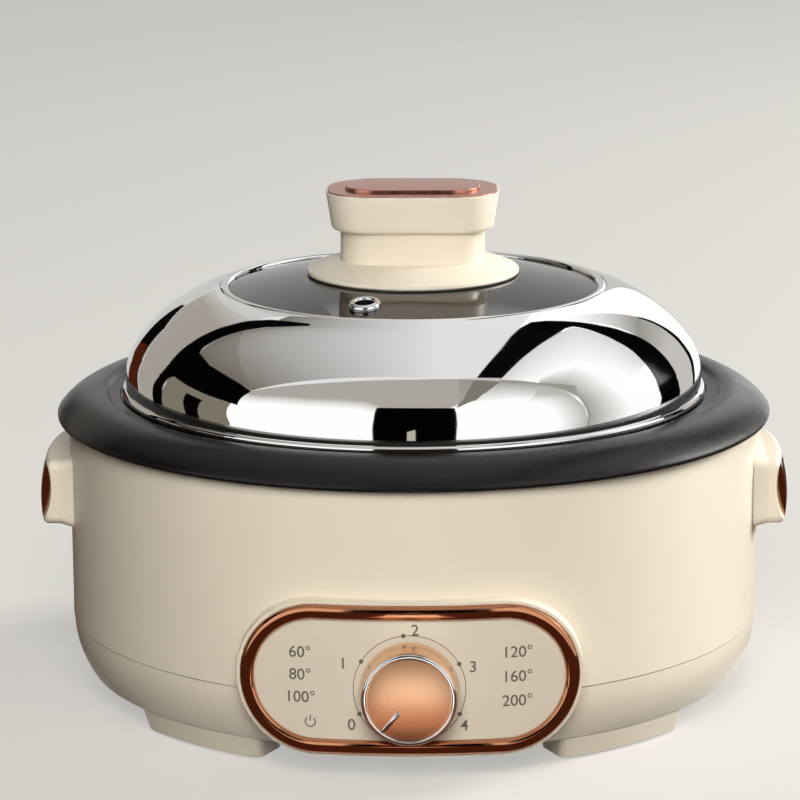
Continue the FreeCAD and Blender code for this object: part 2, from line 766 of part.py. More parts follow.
def make_handles():
    """The right handle with its cap and screws; the left one is the same, turned half round."""
    root_start = math.sqrt(body_radius ** 2 - (handle_span / 2 + 2 * handle_flare) ** 2) - 2 * handle_root
    root_end = body_radius + handle_root
    sweep = 2 * math.degrees(handle_span / handle_reach)
    half = scoop_chord / 2
    beyond_end = end_sweep(sweep, (-handle_height, 0), (handle_height, 0), (handle_height, handle_length),
                           (-handle_height, handle_length))
    scoop = end_sweep(sweep, (-half, 0), ((0, -scoop_depth), (half, 0)), (half, handle_length),
                      (-half, handle_length))
    grip = Part.Face(grip_face(root_end, handle_span, handle_height)).extrude(V(handle_length, 0, 0))
    grip = grip.cut(beyond_end)
    end = [e for e in grip.Edges if e.BoundBox.XMin > root_end + 0.01]
    grip = grip.makeFillet(handle_round, end)
    flare = 2 * handle_flare * (root_end - root_start) / handle_root
    root = Part.makeLoft([grip_face(root_start, handle_span + flare, handle_height + flare),
                          grip_face(root_end, handle_span, handle_height)], True, True)
    half_y = handle_span / 2 - shell_wall - 0.8
    half_z = handle_height / 2 - shell_wall - 0.5
    back = handle_reach - scoop_depth - shell_wall - half_z * math.tan(math.radians(handle_slant))
    cavity = block(root_start - 1, back, -half_y, half_y, handle_z - half_z, handle_z + half_z).common(
        cylinder(back, V(0, 0, handle_z - half_z), UP, 2 * half_z))
    body = grip.fuse(root).cut([scoop, cavity])
    inside = []
    for y in (-handle_screw_y, handle_screw_y):
        inside.append(cylinder(handle_boss_radius, V(root_start, y, handle_z), RIGHT,
                               back - root_start + 0.5))
    for y in (-handle_screw_y, 0, handle_screw_y):
        inside.append(block(root_start, back + 0.5, y - handle_rib / 2, y + handle_rib / 2,
                            handle_z - half_z - 0.5, handle_z + half_z + 0.5))
    bores = [cylinder(handle_screw_radius + screw_play, V(root_start, y, handle_z), RIGHT,
                      handle_pad_face + handle_screw_length + screw_play - root_start)
             for y in (-handle_screw_y, handle_screw_y)]
    body = body.fuse(inside).cut([axis_drum(body_radius + handle_play)] + bores).removeSplitter()

    edge = half - 2 * trim_gap
    lens = end_sweep(math.degrees(cap_span / handle_reach), (-edge, 0),
                     ((0, trim_gap - scoop_depth), (edge, 0)), ((0, cap_bulge), (-edge, 0)))

    screws = Part.makeCompound([screw(V(handle_pad_face, y, handle_z), RIGHT, handle_screw_length,
                                      handle_screw_radius, handle_screw_head)
                                for y in (-handle_screw_y, handle_screw_y)])
    for name, turn in (("right", 0), ("left", 180)):
        save("handle_" + name, body.rotated(V(0, 0, 0), UP, turn))
        save("handle_cap_" + name, lens.rotated(V(0, 0, 0), UP, turn))
    save("handle_screws", *ring_of(screws, (0, 180)))


# ---- Pot -------------------------------------------------------------------
def make_pot():
    seat = housing_top + seat_gap
    lip = housing_top - rim_drop
    floor = pot_bottom + pot_floor
    outer_top = mouth_radius + pot_wall
    outer_low = outer_top - pot_draft
    inner_low = outer_low - pot_wall
    corner_centre = outer_low - pot_corner
    inner_corner = pot_corner - pot_wall
    lip_in = rim_radius - rim_lip
    ring_in = seat_radius + seat_ring_inset
    ring_out = ring_in + seat_ring_width
    under = crest_height - 2 * rim_sheet
    edge = seat + 1.0
    bulge = ((rim_radius + crest_radius + rim_bulge) / 2, (edge + crest_height) / 2 + rim_bulge)
    step = shelf_height - shelf_step
    slant = math.sqrt(0.5)
    flat = 1 - slant
    low = pot_bottom + pot_corner
    pot = turned(
        (0, pot_bottom), (corner_centre, pot_bottom),
        ((corner_centre + pot_corner * slant, pot_bottom + pot_corner * flat), (outer_low, low)),
        (outer_top, seat + 2.0),
        (outer_top + rim_sheet, under),
        (ring_in, under),
        (ring_in, seat),
        (ring_out, seat),
        (ring_out, seat + rim_sheet),
        (lip_in - 0.8, seat + 1.4),
        (lip_in, seat + 0.6),
        (lip_in, lip),
        (rim_radius, lip),
        (rim_radius, edge),
        (bulge, (crest_radius, crest_height)),
        ((crest_radius - 0.6 * crest_round, crest_height - 0.15 * crest_round),
         (crest_radius - crest_round, crest_height - 0.6 * crest_round)),
        (shelf_outer, shelf_height),
        (shelf_inner + shelf_step / 2, shelf_height),
        (shelf_inner, shelf_height - shelf_step / 2),
        (shelf_inner, step),
        (mouth_radius + mouth_round, step),
        ((mouth_radius + mouth_round * flat, step - mouth_round * flat),
         (mouth_radius, step - mouth_round)),
        (inner_low, low),
        ((corner_centre + inner_corner * slant, low - (pot_corner - pot_floor) * slant),
         (corner_centre, floor)),
        (0, floor))
    save("inner_pot", pot)


# ---- Lid -------------------------------------------------------------------
def dome_arc(inset):
    """Points of the dome's two arcs, on the surface that much inside the outer one."""
    side = dome_side_curve - inset
    top = dome_top_curve - inset
    a = math.radians(dome_side_angle)
    end = math.acos(dome_edge / top)
    middle = (a + end) / 2
    return [(side_centre + side, dome_shoulder),
            (side_centre + side * math.cos(a / 2), dome_shoulder + side * math.sin(a / 2)),
            (side_centre + side * math.cos(a), dome_shoulder + side * math.sin(a)),
            (top_centre + top * math.cos(middle), top_centre_z + top * math.sin(middle)),
            (top_centre + top * math.cos(end), top_centre_z + top * math.sin(end))]


def glass_height(radius, inset=0.0):
    """Height of the glass's outer surface, or of one that much inside it."""
    return glass_centre + math.sqrt((glass_curve - inset) ** 2 - radius ** 2)


def make_dome():
    o = dome_arc(0.0)
    i = dome_arc(lid_sheet)
    sheet = turned((lid_radius, bead_height), o[0], (o[1], o[2]), (o[3], o[4]),
                   i[4], (i[3], i[2]), (i[1], i[0]), (lid_radius - lid_sheet, bead_height))
    bead = Part.makeTorus(lid_radius, bead_radius, V(0, 0, bead_height))
    save("lid_dome", fused(sheet, bead))


def placed_at_vent(shape):
    """Seats a shape built on +Z at the vent's place, square to the glass."""
    ring = flange_radius + vent_share * (glass_radius - flange_radius)
    point = polar(ring, vent_angle, glass_height(ring))
    moved = shape.copy()
    moved.Placement = FreeCAD.Placement(point, FreeCAD.Rotation(UP, point - V(0, 0, glass_centre)))
    return moved


def make_glass():
    t = glass_thickness
    r = glass_radius
    glass = turned((0, glass_crown - t), ((r / 2, glass_height(r / 2, t)), (r, glass_height(r, t))),
                   (r, glass_height(r)), ((r / 2, glass_height(r / 2)), (0, glass_crown)))
    vent_hole = placed_at_vent(drill(vent_bore + vent_sleeve + pad_gap, V(0, 0, 0), UP))
    bolt_hole = drill(knob_screw_radius + 1.5, V(0, 0, glass_crown), UP)
    save("lid_glass", glass.cut([vent_hole, bolt_hole]))

    lap = r - ring_lap
    under = glass_height(r, t) - glass_play
    lap_under = glass_height(lap, t) - glass_play
    top = glass_height(r) + glass_play
    lip = r - 0.5 * ring_width
    crown = top + ring_crown
    save("glass_rim", turned(
        (lap, lap_under), (lap, lap_under - ring_sheet), (ring_outer, under - ring_sheet),
        (ring_outer, top + 0.5 * ring_crown), ((ring_outer - 0.8 * ring_width, crown), (lip, top + 0.8)),
        (lip, top + 0.3), (r + pad_gap, top), (r + pad_gap, under)))


def make_vent():
    """Steam eyelet, turned on +Z and then seated in the glass."""
    outer = vent_bore + vent_sleeve
    low = -glass_thickness - glass_play
    lip = outer + vent_sleeve
    bend = (vent_flange - 0.2 * vent_rise, 0.9 * vent_rise)
    eyelet = turned((vent_bore, low - vent_tail), (lip, low - vent_tail), (lip, low),
                    (outer, low), (outer, glass_play), (vent_flange, glass_play),
                    (vent_flange, 0.6 * vent_rise), (bend, (vent_flange - 1.4, vent_rise)),
                    (vent_bore, vent_rise))
    save("vent_eyelet", placed_at_vent(eyelet))


def make_knob():
    bolt = knob_screw_radius + pad_gap
    half = flange_radius / 2
    flat = neck_length / 2 + flange_seat
    slope = (flange_radius + flat) / 2
    edge = glass_height(flange_radius) + glass_play
    flange = turned(
        (bolt, glass_height(bolt) + glass_play),
        ((half, glass_height(half) + glass_play), (flange_radius, edge)),
        (flange_radius, edge + flange_edge - 0.7),
        ((flange_radius - 0.25, edge + flange_edge - 0.2), (flange_radius - 0.9, edge + flange_edge)),
        ((slope, (neck_base + edge + flange_edge) / 2 + 0.4), (flat, neck_base)),
        (bolt, neck_base))
    save("knob_flange", flange)

    low = rounded_wire(cup_length - cup_flare, cup_depth - cup_flare, cup_corner - cup_flare / 2,
                       lambda p: V(p[0], p[1], neck_top))
    high = rounded_wire(cup_length, cup_depth, cup_corner, lambda p: V(p[0], p[1], cup_top))
    cup = Part.makeLoft([low, high], True, True)
    cup = cup.makeFillet(cup_round, [e for e in cup.Edges if e.BoundBox.ZMax < neck_top + 0.01])
    roof = plate_seat - knob_wall
    neck = rounded_top(neck_length, neck_depth, neck_corner, neck_base, neck_top)
    cavity = rounded_top(neck_length - 2 * knob_wall, neck_depth - 2 * knob_wall, neck_corner - knob_wall,
                         neck_base - 1, roof)
    tray = rounded_top(cup_length - 2 * cup_lip, cup_depth - 2 * cup_lip, cup_corner - cup_lip,
                       plate_seat, cup_top + 1)
    grip = neck.fuse(cup).cut([cavity, tray])
    rib_x = neck_length / 2 - knob_wall / 2
    rib_y = neck_depth / 2 - knob_wall / 2
    half_rib = knob_rib / 2
    stem = cylinder(knob_stem_radius, V(0, 0, neck_base), UP, roof - neck_base + 0.5)
    ribs = [block(-rib_x, rib_x, -half_rib, half_rib, neck_base + knob_wall, roof + 0.5),
            block(-half_rib, half_rib, -rib_y, rib_y, neck_base + knob_wall, roof + 0.5)]
    thread = cylinder(knob_screw_radius + trim_gap / 2, V(0, 0, neck_base - 1), UP, knob_screw_depth + 2)
    save("knob_grip", grip.fuse([stem] + ribs).cut(thread).removeSplitter())

    inset = cup_lip + trim_gap
    save("knob_plate", rounded_top(cup_length - 2 * inset, cup_depth - 2 * inset, cup_corner - inset,
                                   plate_seat, plate_face))
    tile_top = plate_face + tile_rise
    tile = rounded_top(tile_length, tile_depth, tile_corner, plate_face, tile_top)
    rim = [e for e in tile.Edges if e.BoundBox.ZMin > tile_top - 0.01]
    save("knob_tile", tile.makeFillet(tile_round, rim))

    under = glass_height(washer_radius, glass_thickness)
    washer_top = under - seal_thickness
    head = washer_top - washer_thickness
    bore = drill(bolt, V(0, 0, under), UP)
    save("knob_seal", cylinder(washer_radius - 1, V(0, 0, washer_top), UP, seal_thickness).cut(bore))
    save("knob_washer", cylinder(washer_radius, V(0, 0, head), UP, washer_thickness).cut(bore))
    save("knob_screw", screw(V(0, 0, head), UP, neck_base + knob_screw_depth - head, knob_screw_radius,
                             knob_screw_head, 1.2 * knob_screw_radius))


# ---- Heater ----------------------------------------------------------------
def make_heater():
    rib_in = element_ring - element_radius - rib_wall
    rib_out = element_ring + element_radius + rib_wall
    draft = 0.15 * rib_depth
    plate = turned((0, plate_under), (rib_in, plate_under), (rib_in + draft, rib_under),
                   (rib_out - draft, rib_under), (rib_out, plate_under),
                   (plate_radius - plate_edge, plate_under),
                   (plate_radius, plate_under + plate_edge), (plate_radius, plate_top - plate_edge / 2),
                   (plate_radius - plate_edge / 2, plate_top), (0, plate_top))
    groove = Part.makeTorus(element_ring, element_radius + trim_gap, V(0, 0, rib_under))
    thread = cylinder(plate_screw_radius + screw_play, V(post_ring, 0, plate_under), UP,
                      plate_thread + 0.5)
    holes = ring_of(thread, post_angles)
    for x in (-cutoff_screw_x, cutoff_screw_x):
        holes.append(cylinder(screw_radius + screw_play, V(x, 0, plate_under), UP, cutoff_screw_length))
    save("heating_plate", plate.cut([groove] + holes))

    tube = Part.Face(Part.Wire(Part.makeCircle(element_radius, V(element_ring, 0, rib_under), BACK)))
    tube = tube.revolve(V(0, 0, 0), UP, element_sweep_angle)
    start = -90 + (360 - element_sweep_angle) / 2
    element = [tube.rotated(V(0, 0, 0), UP, start)]
    for angle in (start, start + element_sweep_angle):
        end = polar(element_ring, angle, rib_under)
        element.append(cylinder(element_radius, end, UP * -1, element_leg))
        element.append(cylinder(element_pin_radius, end, UP * -1, element_leg + element_pin))
    save("heating_element", fused(*element))


def make_reflector():
    s = reflector_sheet
    foot = reflector_radius - reflector_lip - reflector_slope
    brim = reflector_radius - reflector_lip
    dish = turned((0, reflector_floor), (foot, reflector_floor), (brim, reflector_rim - s),
                  (reflector_radius, reflector_rim - s), (reflector_radius, reflector_rim),
                  (brim - 0.75 * s, reflector_rim), (foot - 0.75 * s, reflector_floor + s),
                  (0, reflector_floor + s))
    cuts = ring_of(drill(post_bore, V(post_ring, 0, 0), UP), post_angles)
    save("heat_reflector", dish.cut(cuts + [drill(reflector_hole, V(0, 0, 0), UP)]))

    post_low = reflector_floor + s
    post = cylinder(post_radius, V(post_ring, 0, post_low), UP, plate_under - post_low)
    post = post.cut(drill(post_bore, V(post_ring, 0, 0), UP))
    save("plate_posts", *ring_of(post, post_angles))
    one = screw(V(post_ring, 0, plate_head_height), UP, plate_under + plate_thread - plate_head_height,
                plate_screw_radius, plate_screw_head)
    save("plate_screws", *ring_of(one, post_angles))


def make_cutoffs():
    """Thermal cut-off, screwed under the middle of the plate, and thermal fuse."""
    top = plate_under - trim_gap
    can_low = top - cutoff_height
    ear_low = top - cutoff_sheet
    sides = (-cutoff_screw_x, cutoff_screw_x)
    can = cylinder(cutoff_radius, V(0, 0, can_low), UP, cutoff_height)
    ears = stadium_face(2 * (cutoff_screw_x + cutoff_ear), 2 * cutoff_ear,
                        lambda p: V(p[0], p[1], ear_low)).extrude(V(0, 0, cutoff_sheet))
    half = tab_width / 2
    tabs = [block(x - tab_thickness / 2, x + tab_thickness / 2, -half, half,
                  can_low - cutoff_ear, can_low + 1) for x in (-cutoff_radius / 2, cutoff_radius / 2)]
    ear_holes = [drill(screw_radius + screw_play, V(x, 0, top), UP) for x in sides]
    save("thermal_cutoff", fused(can, ears, *tabs).cut(ear_holes))
    save("cutoff_screws", *[screw(V(x, 0, ear_low), UP, cutoff_screw_length, screw_radius,
                                  cutoff_screw_head) for x in sides])
    fuse_start = V(-fuse_length / 2, fuse_y, top - fuse_radius)
    save("thermal_fuse", cylinder(fuse_radius, fuse_start, RIGHT, fuse_length))


# ---- Inlet and wiring ------------------------------------------------------
def make_inlet():
    a = inlet_width / 2
    b = inlet_height / 2
    back = inlet_face - shell_wall - trim_gap
    front = inlet_face - inlet_depth
    inside = inlet_face - inlet_cavity_depth
    body = block(-a, a, front, inlet_face - 0.4, inlet_z - b, inlet_z + b)
    half = inlet_screw_x + inlet_screw_head + inlet_lip
    flange = block(-half, half, back - inlet_flange, back,
                   inlet_z - b - inlet_lip, inlet_z + b + inlet_lip)
    cavity = block(inlet_wall - a, a - inlet_wall, inside, inlet_face + 1, inlet_z - b + inlet_wall,
                   inlet_z + b - inlet_wall)
    w = pin_width / 2
    h = pin_height / 2
    pins = []
    slots = []
    for x, z in pin_places:
        level = inlet_z + z
        pins.append(block(x - w, x + w, front - pin_tail, inlet_face - pin_sink, level - h, level + h))
        slots.append(block(x - w - trim_gap, x + w + trim_gap, front - 1, inside + 1,
                           level - h - trim_gap, level + h + trim_gap))
    sides = (-inlet_screw_x, inlet_screw_x)
    bores = [cylinder(screw_radius + screw_play, V(x, inlet_face / 2, inlet_z), BACK, beyond)
             for x in sides]
    save("inlet_socket", fused(body, flange).cut([cavity] + slots + bores))
    save("inlet_pins", *pins)
    save("inlet_screws", *[screw(V(x, inlet_face, inlet_z), BACK * -1, inlet_screw_length, screw_radius,
                                 inlet_screw_head) for x in sides])


def make_terminal_block():
    half_x = block_width / 2
    half_y = block_length / 2
    top = bowl_floor + block_height
    strip = block(-half_x, half_x, block_y - half_y, block_y + half_y, bowl_floor, top)
    bore_z = bowl_floor + block_bore_rise
    cuts = []
    for x in (-block_pitch, 0, block_pitch):
        cuts.append(drill(block_bore, V(x, block_y, bore_z), BACK))
        cuts.append(cylinder(1.1 * block_bore, V(x, block_y, bore_z + block_bore / 2), UP, block_height))
    save("terminal_block", strip.cut(cuts))


def make_all():
    make_upper_housing()
    make_lower_bowl()
    make_base_screws()
    make_feet()
    make_panel()
    make_lamp()
    make_switch()
    make_dial()
    make_handles()
    make_pot()
    make_dome()
    make_glass()
    make_vent()
    make_knob()
    make_heater()
    make_reflector()
    make_cutoffs()
    make_inlet()
    make_terminal_block()


make_all()
os.makedirs("parts", exist_ok=True)
for name, shape in nodes.items():
    shape.exportStep("parts/" + name + ".step")
    solids = len(shape.Solids)
    print(f"{name:22s} solids {solids}  valid {shape.isValid()}  volume {shape.Volume / 1000:.2f} cm3")
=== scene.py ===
import json
from functools import partial
from math import acos, atan2, ceil, cos, degrees, hypot, radians, sin, sqrt, tau

import bmesh
import bpy
from mathutils import Matrix, Vector


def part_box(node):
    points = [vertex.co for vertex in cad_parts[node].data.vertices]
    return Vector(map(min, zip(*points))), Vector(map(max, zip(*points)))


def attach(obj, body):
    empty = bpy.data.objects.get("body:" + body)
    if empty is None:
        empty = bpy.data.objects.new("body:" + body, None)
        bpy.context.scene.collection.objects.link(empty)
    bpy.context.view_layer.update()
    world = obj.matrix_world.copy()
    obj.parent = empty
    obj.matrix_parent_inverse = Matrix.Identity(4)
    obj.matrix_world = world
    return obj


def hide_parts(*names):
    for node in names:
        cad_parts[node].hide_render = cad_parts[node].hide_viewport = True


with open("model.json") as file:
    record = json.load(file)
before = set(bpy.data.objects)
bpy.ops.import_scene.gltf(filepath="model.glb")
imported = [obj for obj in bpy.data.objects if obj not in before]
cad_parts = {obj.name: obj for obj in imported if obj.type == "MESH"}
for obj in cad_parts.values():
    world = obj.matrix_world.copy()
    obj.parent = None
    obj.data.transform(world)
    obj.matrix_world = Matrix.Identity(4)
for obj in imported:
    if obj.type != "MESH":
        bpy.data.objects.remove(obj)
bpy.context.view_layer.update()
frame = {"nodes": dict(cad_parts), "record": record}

# Electric hot pot with a lift-off lid. Shapes are made in millimetres and turned to metres
# when a piece is finished. +Z up, control panel towards -Y, origin on the table.

MM = 0.001
fine_steps = 256        # faces round the lid, its glass and the pot
scene = bpy.context.scene
record = frame["record"]
slot_of = {part["node"]: part["material_slot"] for part in record["subparts"]}
body_of = {node: body for body, members in record["behaviour"]["bodies"].items() for node in members}


def span(node):
    """Lowest and highest corner of a CAD node, in millimetres."""
    low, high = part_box(node)
    return Vector(low) / MM, Vector(high) / MM


# ---- Sizes ----
# Lid
dome_low, dome_high = span("lid_dome")
bead_radius = 1.8
lid_radius = dome_high.x - bead_radius
bead_height = dome_low.z + bead_radius
shoulder = bead_height + 6.3          # top of the dome's upright edge
side_curve = 24.0
side_angle = 35.0
top_curve = 66.0
lid_sheet = 1.0
lid_gap = 0.1
ring_outer = span("glass_rim")[1].x
glass_high = span("lid_glass")[1]
glass_radius = glass_high.x
glass_curve = 366.0
glass_thickness = 4.0
glass_play = 0.15
glass_bore = 4.0
glass_centre = glass_high.z - glass_curve
ring_width = ring_outer - glass_radius
ring_crown = 2.0
ring_lap = 3.2
vent_share = 0.534                    # of the way from the knob's flange out to the glass's edge
vent_angle = -107.3
vent_bore = 4.2
vent_sleeve = 1.0
vent_flange = 7.0
vent_rise = 2.6
vent_tail = 1.6

# Knob of the lid
flange_radius = span("knob_flange")[1].x
flange_edge = 2.6
vent_ring = flange_radius + vent_share * (glass_radius - flange_radius)
grip_low, grip_high = span("knob_grip")
cup_length = grip_high.x - grip_low.x
cup_depth = grip_high.y - grip_low.y
cup_top = grip_high.z
neck_base = grip_low.z
cup_corner = 19.5
cup_flare = 4.4
cup_height = 16.9
cup_round = 2.4
cup_lip = 0.9
neck_length = 64.4
neck_depth = 40.0
neck_corner = 15.0
tile_corner = 13.0
knob_bolt = 2.7
plate_seat = span("knob_plate")[0].z

# Pot
pot_low, pot_high = span("inner_pot")
rim_radius = pot_high.x
crest = pot_high.z
pot_bottom = pot_low.z
seat = span("upper_housing")[1].z + 0.3
rim_lip = 2.8
rim_bulge = 2.3
crest_radius = rim_radius - 20.0
mouth_radius = rim_radius - 35.0
pot_wall = 3.0
pot_draft = 9.0
pot_corner = 22.0
pot_floor = 4.0
shelf_drop = 2.4
shelf_step = 0.8

# Panel and dial
bezel_low, bezel_high = span("bezel_ring")
panel_width = bezel_high.x - bezel_low.x
panel_height = bezel_high.z - bezel_low.z
panel_z = (bezel_high.z + bezel_low.z) / 2
panel_front = -span("upper_housing")[0].y
panel_curve = 230.0
panel_axis = panel_curve - panel_front
pocket_depth = 1.6
pocket_curve = panel_curve - pocket_depth
bezel_width = 6.0
bezel_rise = 4.6
bezel_round = 2.25
plate_thickness = 2.0
dial_low, dial_high = span("dial_body")
dial_z = (dial_high.z + dial_low.z) / 2
dial_base_radius = (dial_high.x - dial_low.x) / 2
dial_front_radius = 19.9
dial_base = -dial_high.y
dial_front = -dial_low.y
pointer_angle = 231.0
pointer_inner = 6.5
pointer_outer = 17.3
pointer_width = 1.9

# Printing on the panel; heights are over the bezel's seat
ink_low = plate_thickness + 0.01
ink_high = plate_thickness + 0.05
scale_radius = 23.4                   # of the ring round the dial
scale_line = 0.32
stop_angles = (207.0, 149.0, 96.0, 28.0, -27.0)
stop_dot = 0.95
figure_size = 6.8
power_place = (-41.5, panel_z - 18.8)
power_radius = 2.1
power_line = 0.55

# Screws
screw_head = 2.2                      # height of a head
screw_shank = 1.5
base_screw_head = 3.2                 # radius
base_screw_angles = (-25.0, 25.0, 70.0, 110.0, 155.0, 205.0)

# Camera and its view, for a square picture
picture = 800.0
focal_pixels = 3741.0
sensor = 36.0
aim = Vector((-6.1, 0.0, 128.5)) * MM
camera_distance = 1.690
camera_azimuth = 1.0
camera_elevation = 12.6
camera_roll = 0.3

# Floor: how far it reaches, in metres, and the share of its own glow where the camera sees it
floor_reach = 9.0
floor_glow = 0.5


# ---- Mesh helpers ----
def arc_points(a, b, c, turn):
    """Points after a on the circle arc from a through b to c, one for each turn degrees."""
    d = 2 * (a[0] * (b[1] - c[1]) + b[0] * (c[1] - a[1]) + c[0] * (a[1] - b[1]))
    sa, sb, sc = (p[0] ** 2 + p[1] ** 2 for p in (a, b, c))
    x = (sa * (b[1] - c[1]) + sb * (c[1] - a[1]) + sc * (a[1] - b[1])) / d
    y = (sa * (c[0] - b[0]) + sb * (a[0] - c[0]) + sc * (b[0] - a[0])) / d
    radius = hypot(a[0] - x, a[1] - y)
    start = atan2(a[1] - y, a[0] - x)
    sweep = (atan2(c[1] - y, c[0] - x) - start) % tau
    if (atan2(b[1] - y, b[0] - x) - start) % tau > sweep:
        sweep -= tau
    count = max(2, ceil(abs(sweep) / radians(turn)))
    angles = [start + sweep * i / count for i in range(1, count + 1)]
    return [(x + radius * cos(t), y + radius * sin(t)) for t in angles]


def outline(*steps, turn=8.0):
    """Points of an outline. A step is a point, or (point between, end) of an arc."""
    points = [steps[0]]
    for step in steps[1:]:
        if isinstance(step[0], tuple):
            points += arc_points(points[-1], step[0], step[1], turn)
        else:
            points.append(step)
    return points


def circle(radius, height, count=192):
    turns = [tau * i / count for i in range(count)]
    return [(radius * cos(t), radius * sin(t), height) for t in turns]


def rounded(length, depth, corner, height, count=14):
    """Ring of a rectangle with round corners."""
    points = []
    for x, y, first in ((1, -1, -90), (1, 1, 0), (-1, 1, 90), (-1, -1, 180)):
        for i in range(count + 1):
            t = radians(first + 90 * i / count)
            points.append((x * (length / 2 - corner) + corner * cos(t),
                           y * (depth / 2 - corner) + corner * sin(t), height))
    return points


def skin(rings, closed):
    """Mesh through rings of points: closed joins the last ring to the first, else the ends are capped."""
    shape = bmesh.new()
    loops = [[shape.verts.new(p) for p in ring] for ring in rings]
    for a, b in zip(loops, loops[1:] + (loops[:1] if closed else [])):
        for i in range(len(a)):
            j = (i + 1) % len(a)
            shape.faces.new((a[i], a[j], b[j], b[i]))
    if not closed:
        shape.faces.new(loops[0])
        shape.faces.new(loops[-1])
    bmesh.ops.remove_doubles(shape, verts=shape.verts, dist=1e-5)
    bmesh.ops.recalc_face_normals(shape, faces=shape.faces)
    return shape


def new_object(name, data):
    """Object with that data, in the scene."""
    thing = bpy.data.objects.new(name, data)
    scene.collection.objects.link(thing)
    return thing


def finished(name, shape, place=Matrix(), crease=35.0):
    """Object from a mesh in millimetres, set in its place, smooth but for edges over crease degrees."""
    shape.transform(Matrix.Scale(MM, 4) @ place)
    mesh = bpy.data.meshes.new(name)
    shape.to_mesh(mesh)
    shape.free()
    mesh.shade_smooth()
    mesh.set_sharp_from_angle(angle=radians(crease))
    return new_object(name, mesh)


def turned(name, points, place=Matrix(), count=192):
    """Closed outline of (radius, height) points turned about Z."""
    return finished(name, skin([circle(r, z, count) for r, z in points], True), place)


def real_mesh(thing):
    """Plain mesh of a thing as its modifiers or its text make it."""
    bpy.context.view_layer.update()
    return bpy.data.meshes.new_from_object(thing.evaluated_get(bpy.context.evaluated_depsgraph_get()))


def cut_out(piece, cutter):
    """Takes the cutter out of the piece and deletes it."""
    tool = piece.modifiers.new("cut", "BOOLEAN")
    tool.operation = "DIFFERENCE"
    tool.solver = "EXACT"
    tool.object = cutter
    mesh = real_mesh(piece)
    piece.modifiers.clear()
    piece.data = mesh
    bpy.data.objects.remove(cutter)
    return piece


def add_node(tree, kind, inputs=None, **settings):
    """Adds a node. settings are its properties; inputs are values, sockets to link from, nodes for
    their first output, or a list of nodes for an input that takes several."""
    node = tree.nodes.new(kind)
    for name, value in settings.items():
        setattr(node, name, value)
    for name, value in (inputs or {}).items():
        for source in value if isinstance(value, list) else [value]:
            if isinstance(source, bpy.types.Node):
                source = source.outputs[0]
            if isinstance(source, bpy.types.NodeSocket):
                tree.links.new(source, node.inputs[name])
            else:
                node.inputs[name].default_value = source
    return node


def new_tree(name, sizes):
    """Geometry tree with a mesh in and out, named sizes and a material. Gives the tree, what adds a node
    to it, and its inputs."""
    tree = bpy.data.node_groups.new(name, "GeometryNodeTree")
    tree.interface.new_socket(name="Geometry", in_out="OUTPUT", socket_type="NodeSocketGeometry")
    kinds = {"Geometry": "Geometry", **dict.fromkeys(sizes, "Float"), "Material": "Material"}
    for socket, kind in kinds.items():
        tree.interface.new_socket(name=socket, in_out="INPUT", socket_type="NodeSocket" + kind)
    return tree, partial(add_node, tree), add_node(tree, "NodeGroupInput").outputs


def close_tree(add, given, geometry):
    """Ends a tree in Realize Instances and Set Material."""
    real = add("GeometryNodeRealizeInstances", {"Geometry": geometry})
    dyed = add("GeometryNodeSetMaterial", {"Geometry": real, "Material": given["Material"]})
    add("NodeGroupOutput", {0: dyed})


def spread_tree(add, given, shape, facing):
    """Ends a tree with the shape on every point, its +Z turned to face that way."""
    turn = add("FunctionNodeAlignRotationToVector", {"Vector": facing}, axis="Z")
    points = add("GeometryNodeMeshToPoints", {"Mesh": given["Geometry"]})
    spread = add("GeometryNodeInstanceOnPoints", {"Points": points, "Instance": shape, "Rotation": turn})
    close_tree(add, given, spread)


def grown(name, tree, points, values):
    """Piece that a geometry tree makes from loose points, in millimetres."""
    seeds = bpy.data.meshes.new(name)
    seeds.from_pydata(points, [], [])
    seedling = new_object(name, seeds)
    maker = seedling.modifiers.new(name, "NODES")
    maker.node_group = tree
    for item in tree.interface.items_tree:
        if item.in_out == "INPUT" and item.name in values:
            maker[item.identifier] = values[item.name]
    mesh = real_mesh(seedling)
    seedling.modifiers.clear()
    bpy.data.objects.remove(seedling)
    shape = bmesh.new()
    shape.from_mesh(mesh)
    bmesh.ops.remove_doubles(shape, verts=shape.verts, dist=1e-4)
    bmesh.ops.recalc_face_normals(shape, faces=shape.faces)
    return finished(name, shape)


def dress(piece, material, *nodes, body=None, slot=None):
    """Gives a piece its material and body, and hides the CAD nodes that it stands for."""
    piece.data.materials.clear()
    piece.data.materials.append(material)
    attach(piece, body or body_of[nodes[0]])
    if nodes:
        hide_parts(*nodes)


# ---- Material helpers ----
def linear(code):
    """sRGB hex colour as linear numbers."""
    levels = [int(code[i:i + 2], 16) / 255 for i in (1, 3, 5)]
    return tuple(c / 12.92 if c <= 0.04045 else ((c + 0.055) / 1.055) ** 2.4 for c in levels) + (1.0,)


def per_mm(size):
    """Texture scale for a pattern of that many millimetres."""
    return 1.0 / (size * MM)


def open_material(name):
    """Empty material. Gives it, what adds a node to it, and the object coordinates for its patterns."""
    material = bpy.data.materials.new(name)
    material.use_nodes = True
    material.node_tree.nodes.clear()
    add = partial(add_node, material.node_tree)
    return material, add, add("ShaderNodeTexCoord").outputs["Object"]


def close_material(material, add, inputs):
    """Ends a material in one shader with those inputs."""
    shader = add("ShaderNodeBsdfPrincipled", inputs)
    add("ShaderNodeOutputMaterial", {"Surface": shader})
    return material


def noise_of(where):
    """Settings and input of a noise that reads coordinates, or one number, which gives lines."""
    if where.type == "VALUE":
        return {"noise_dimensions": "1D"}, {"W": where}
    return {"noise_dimensions": "3D"}, {"Vector": where}


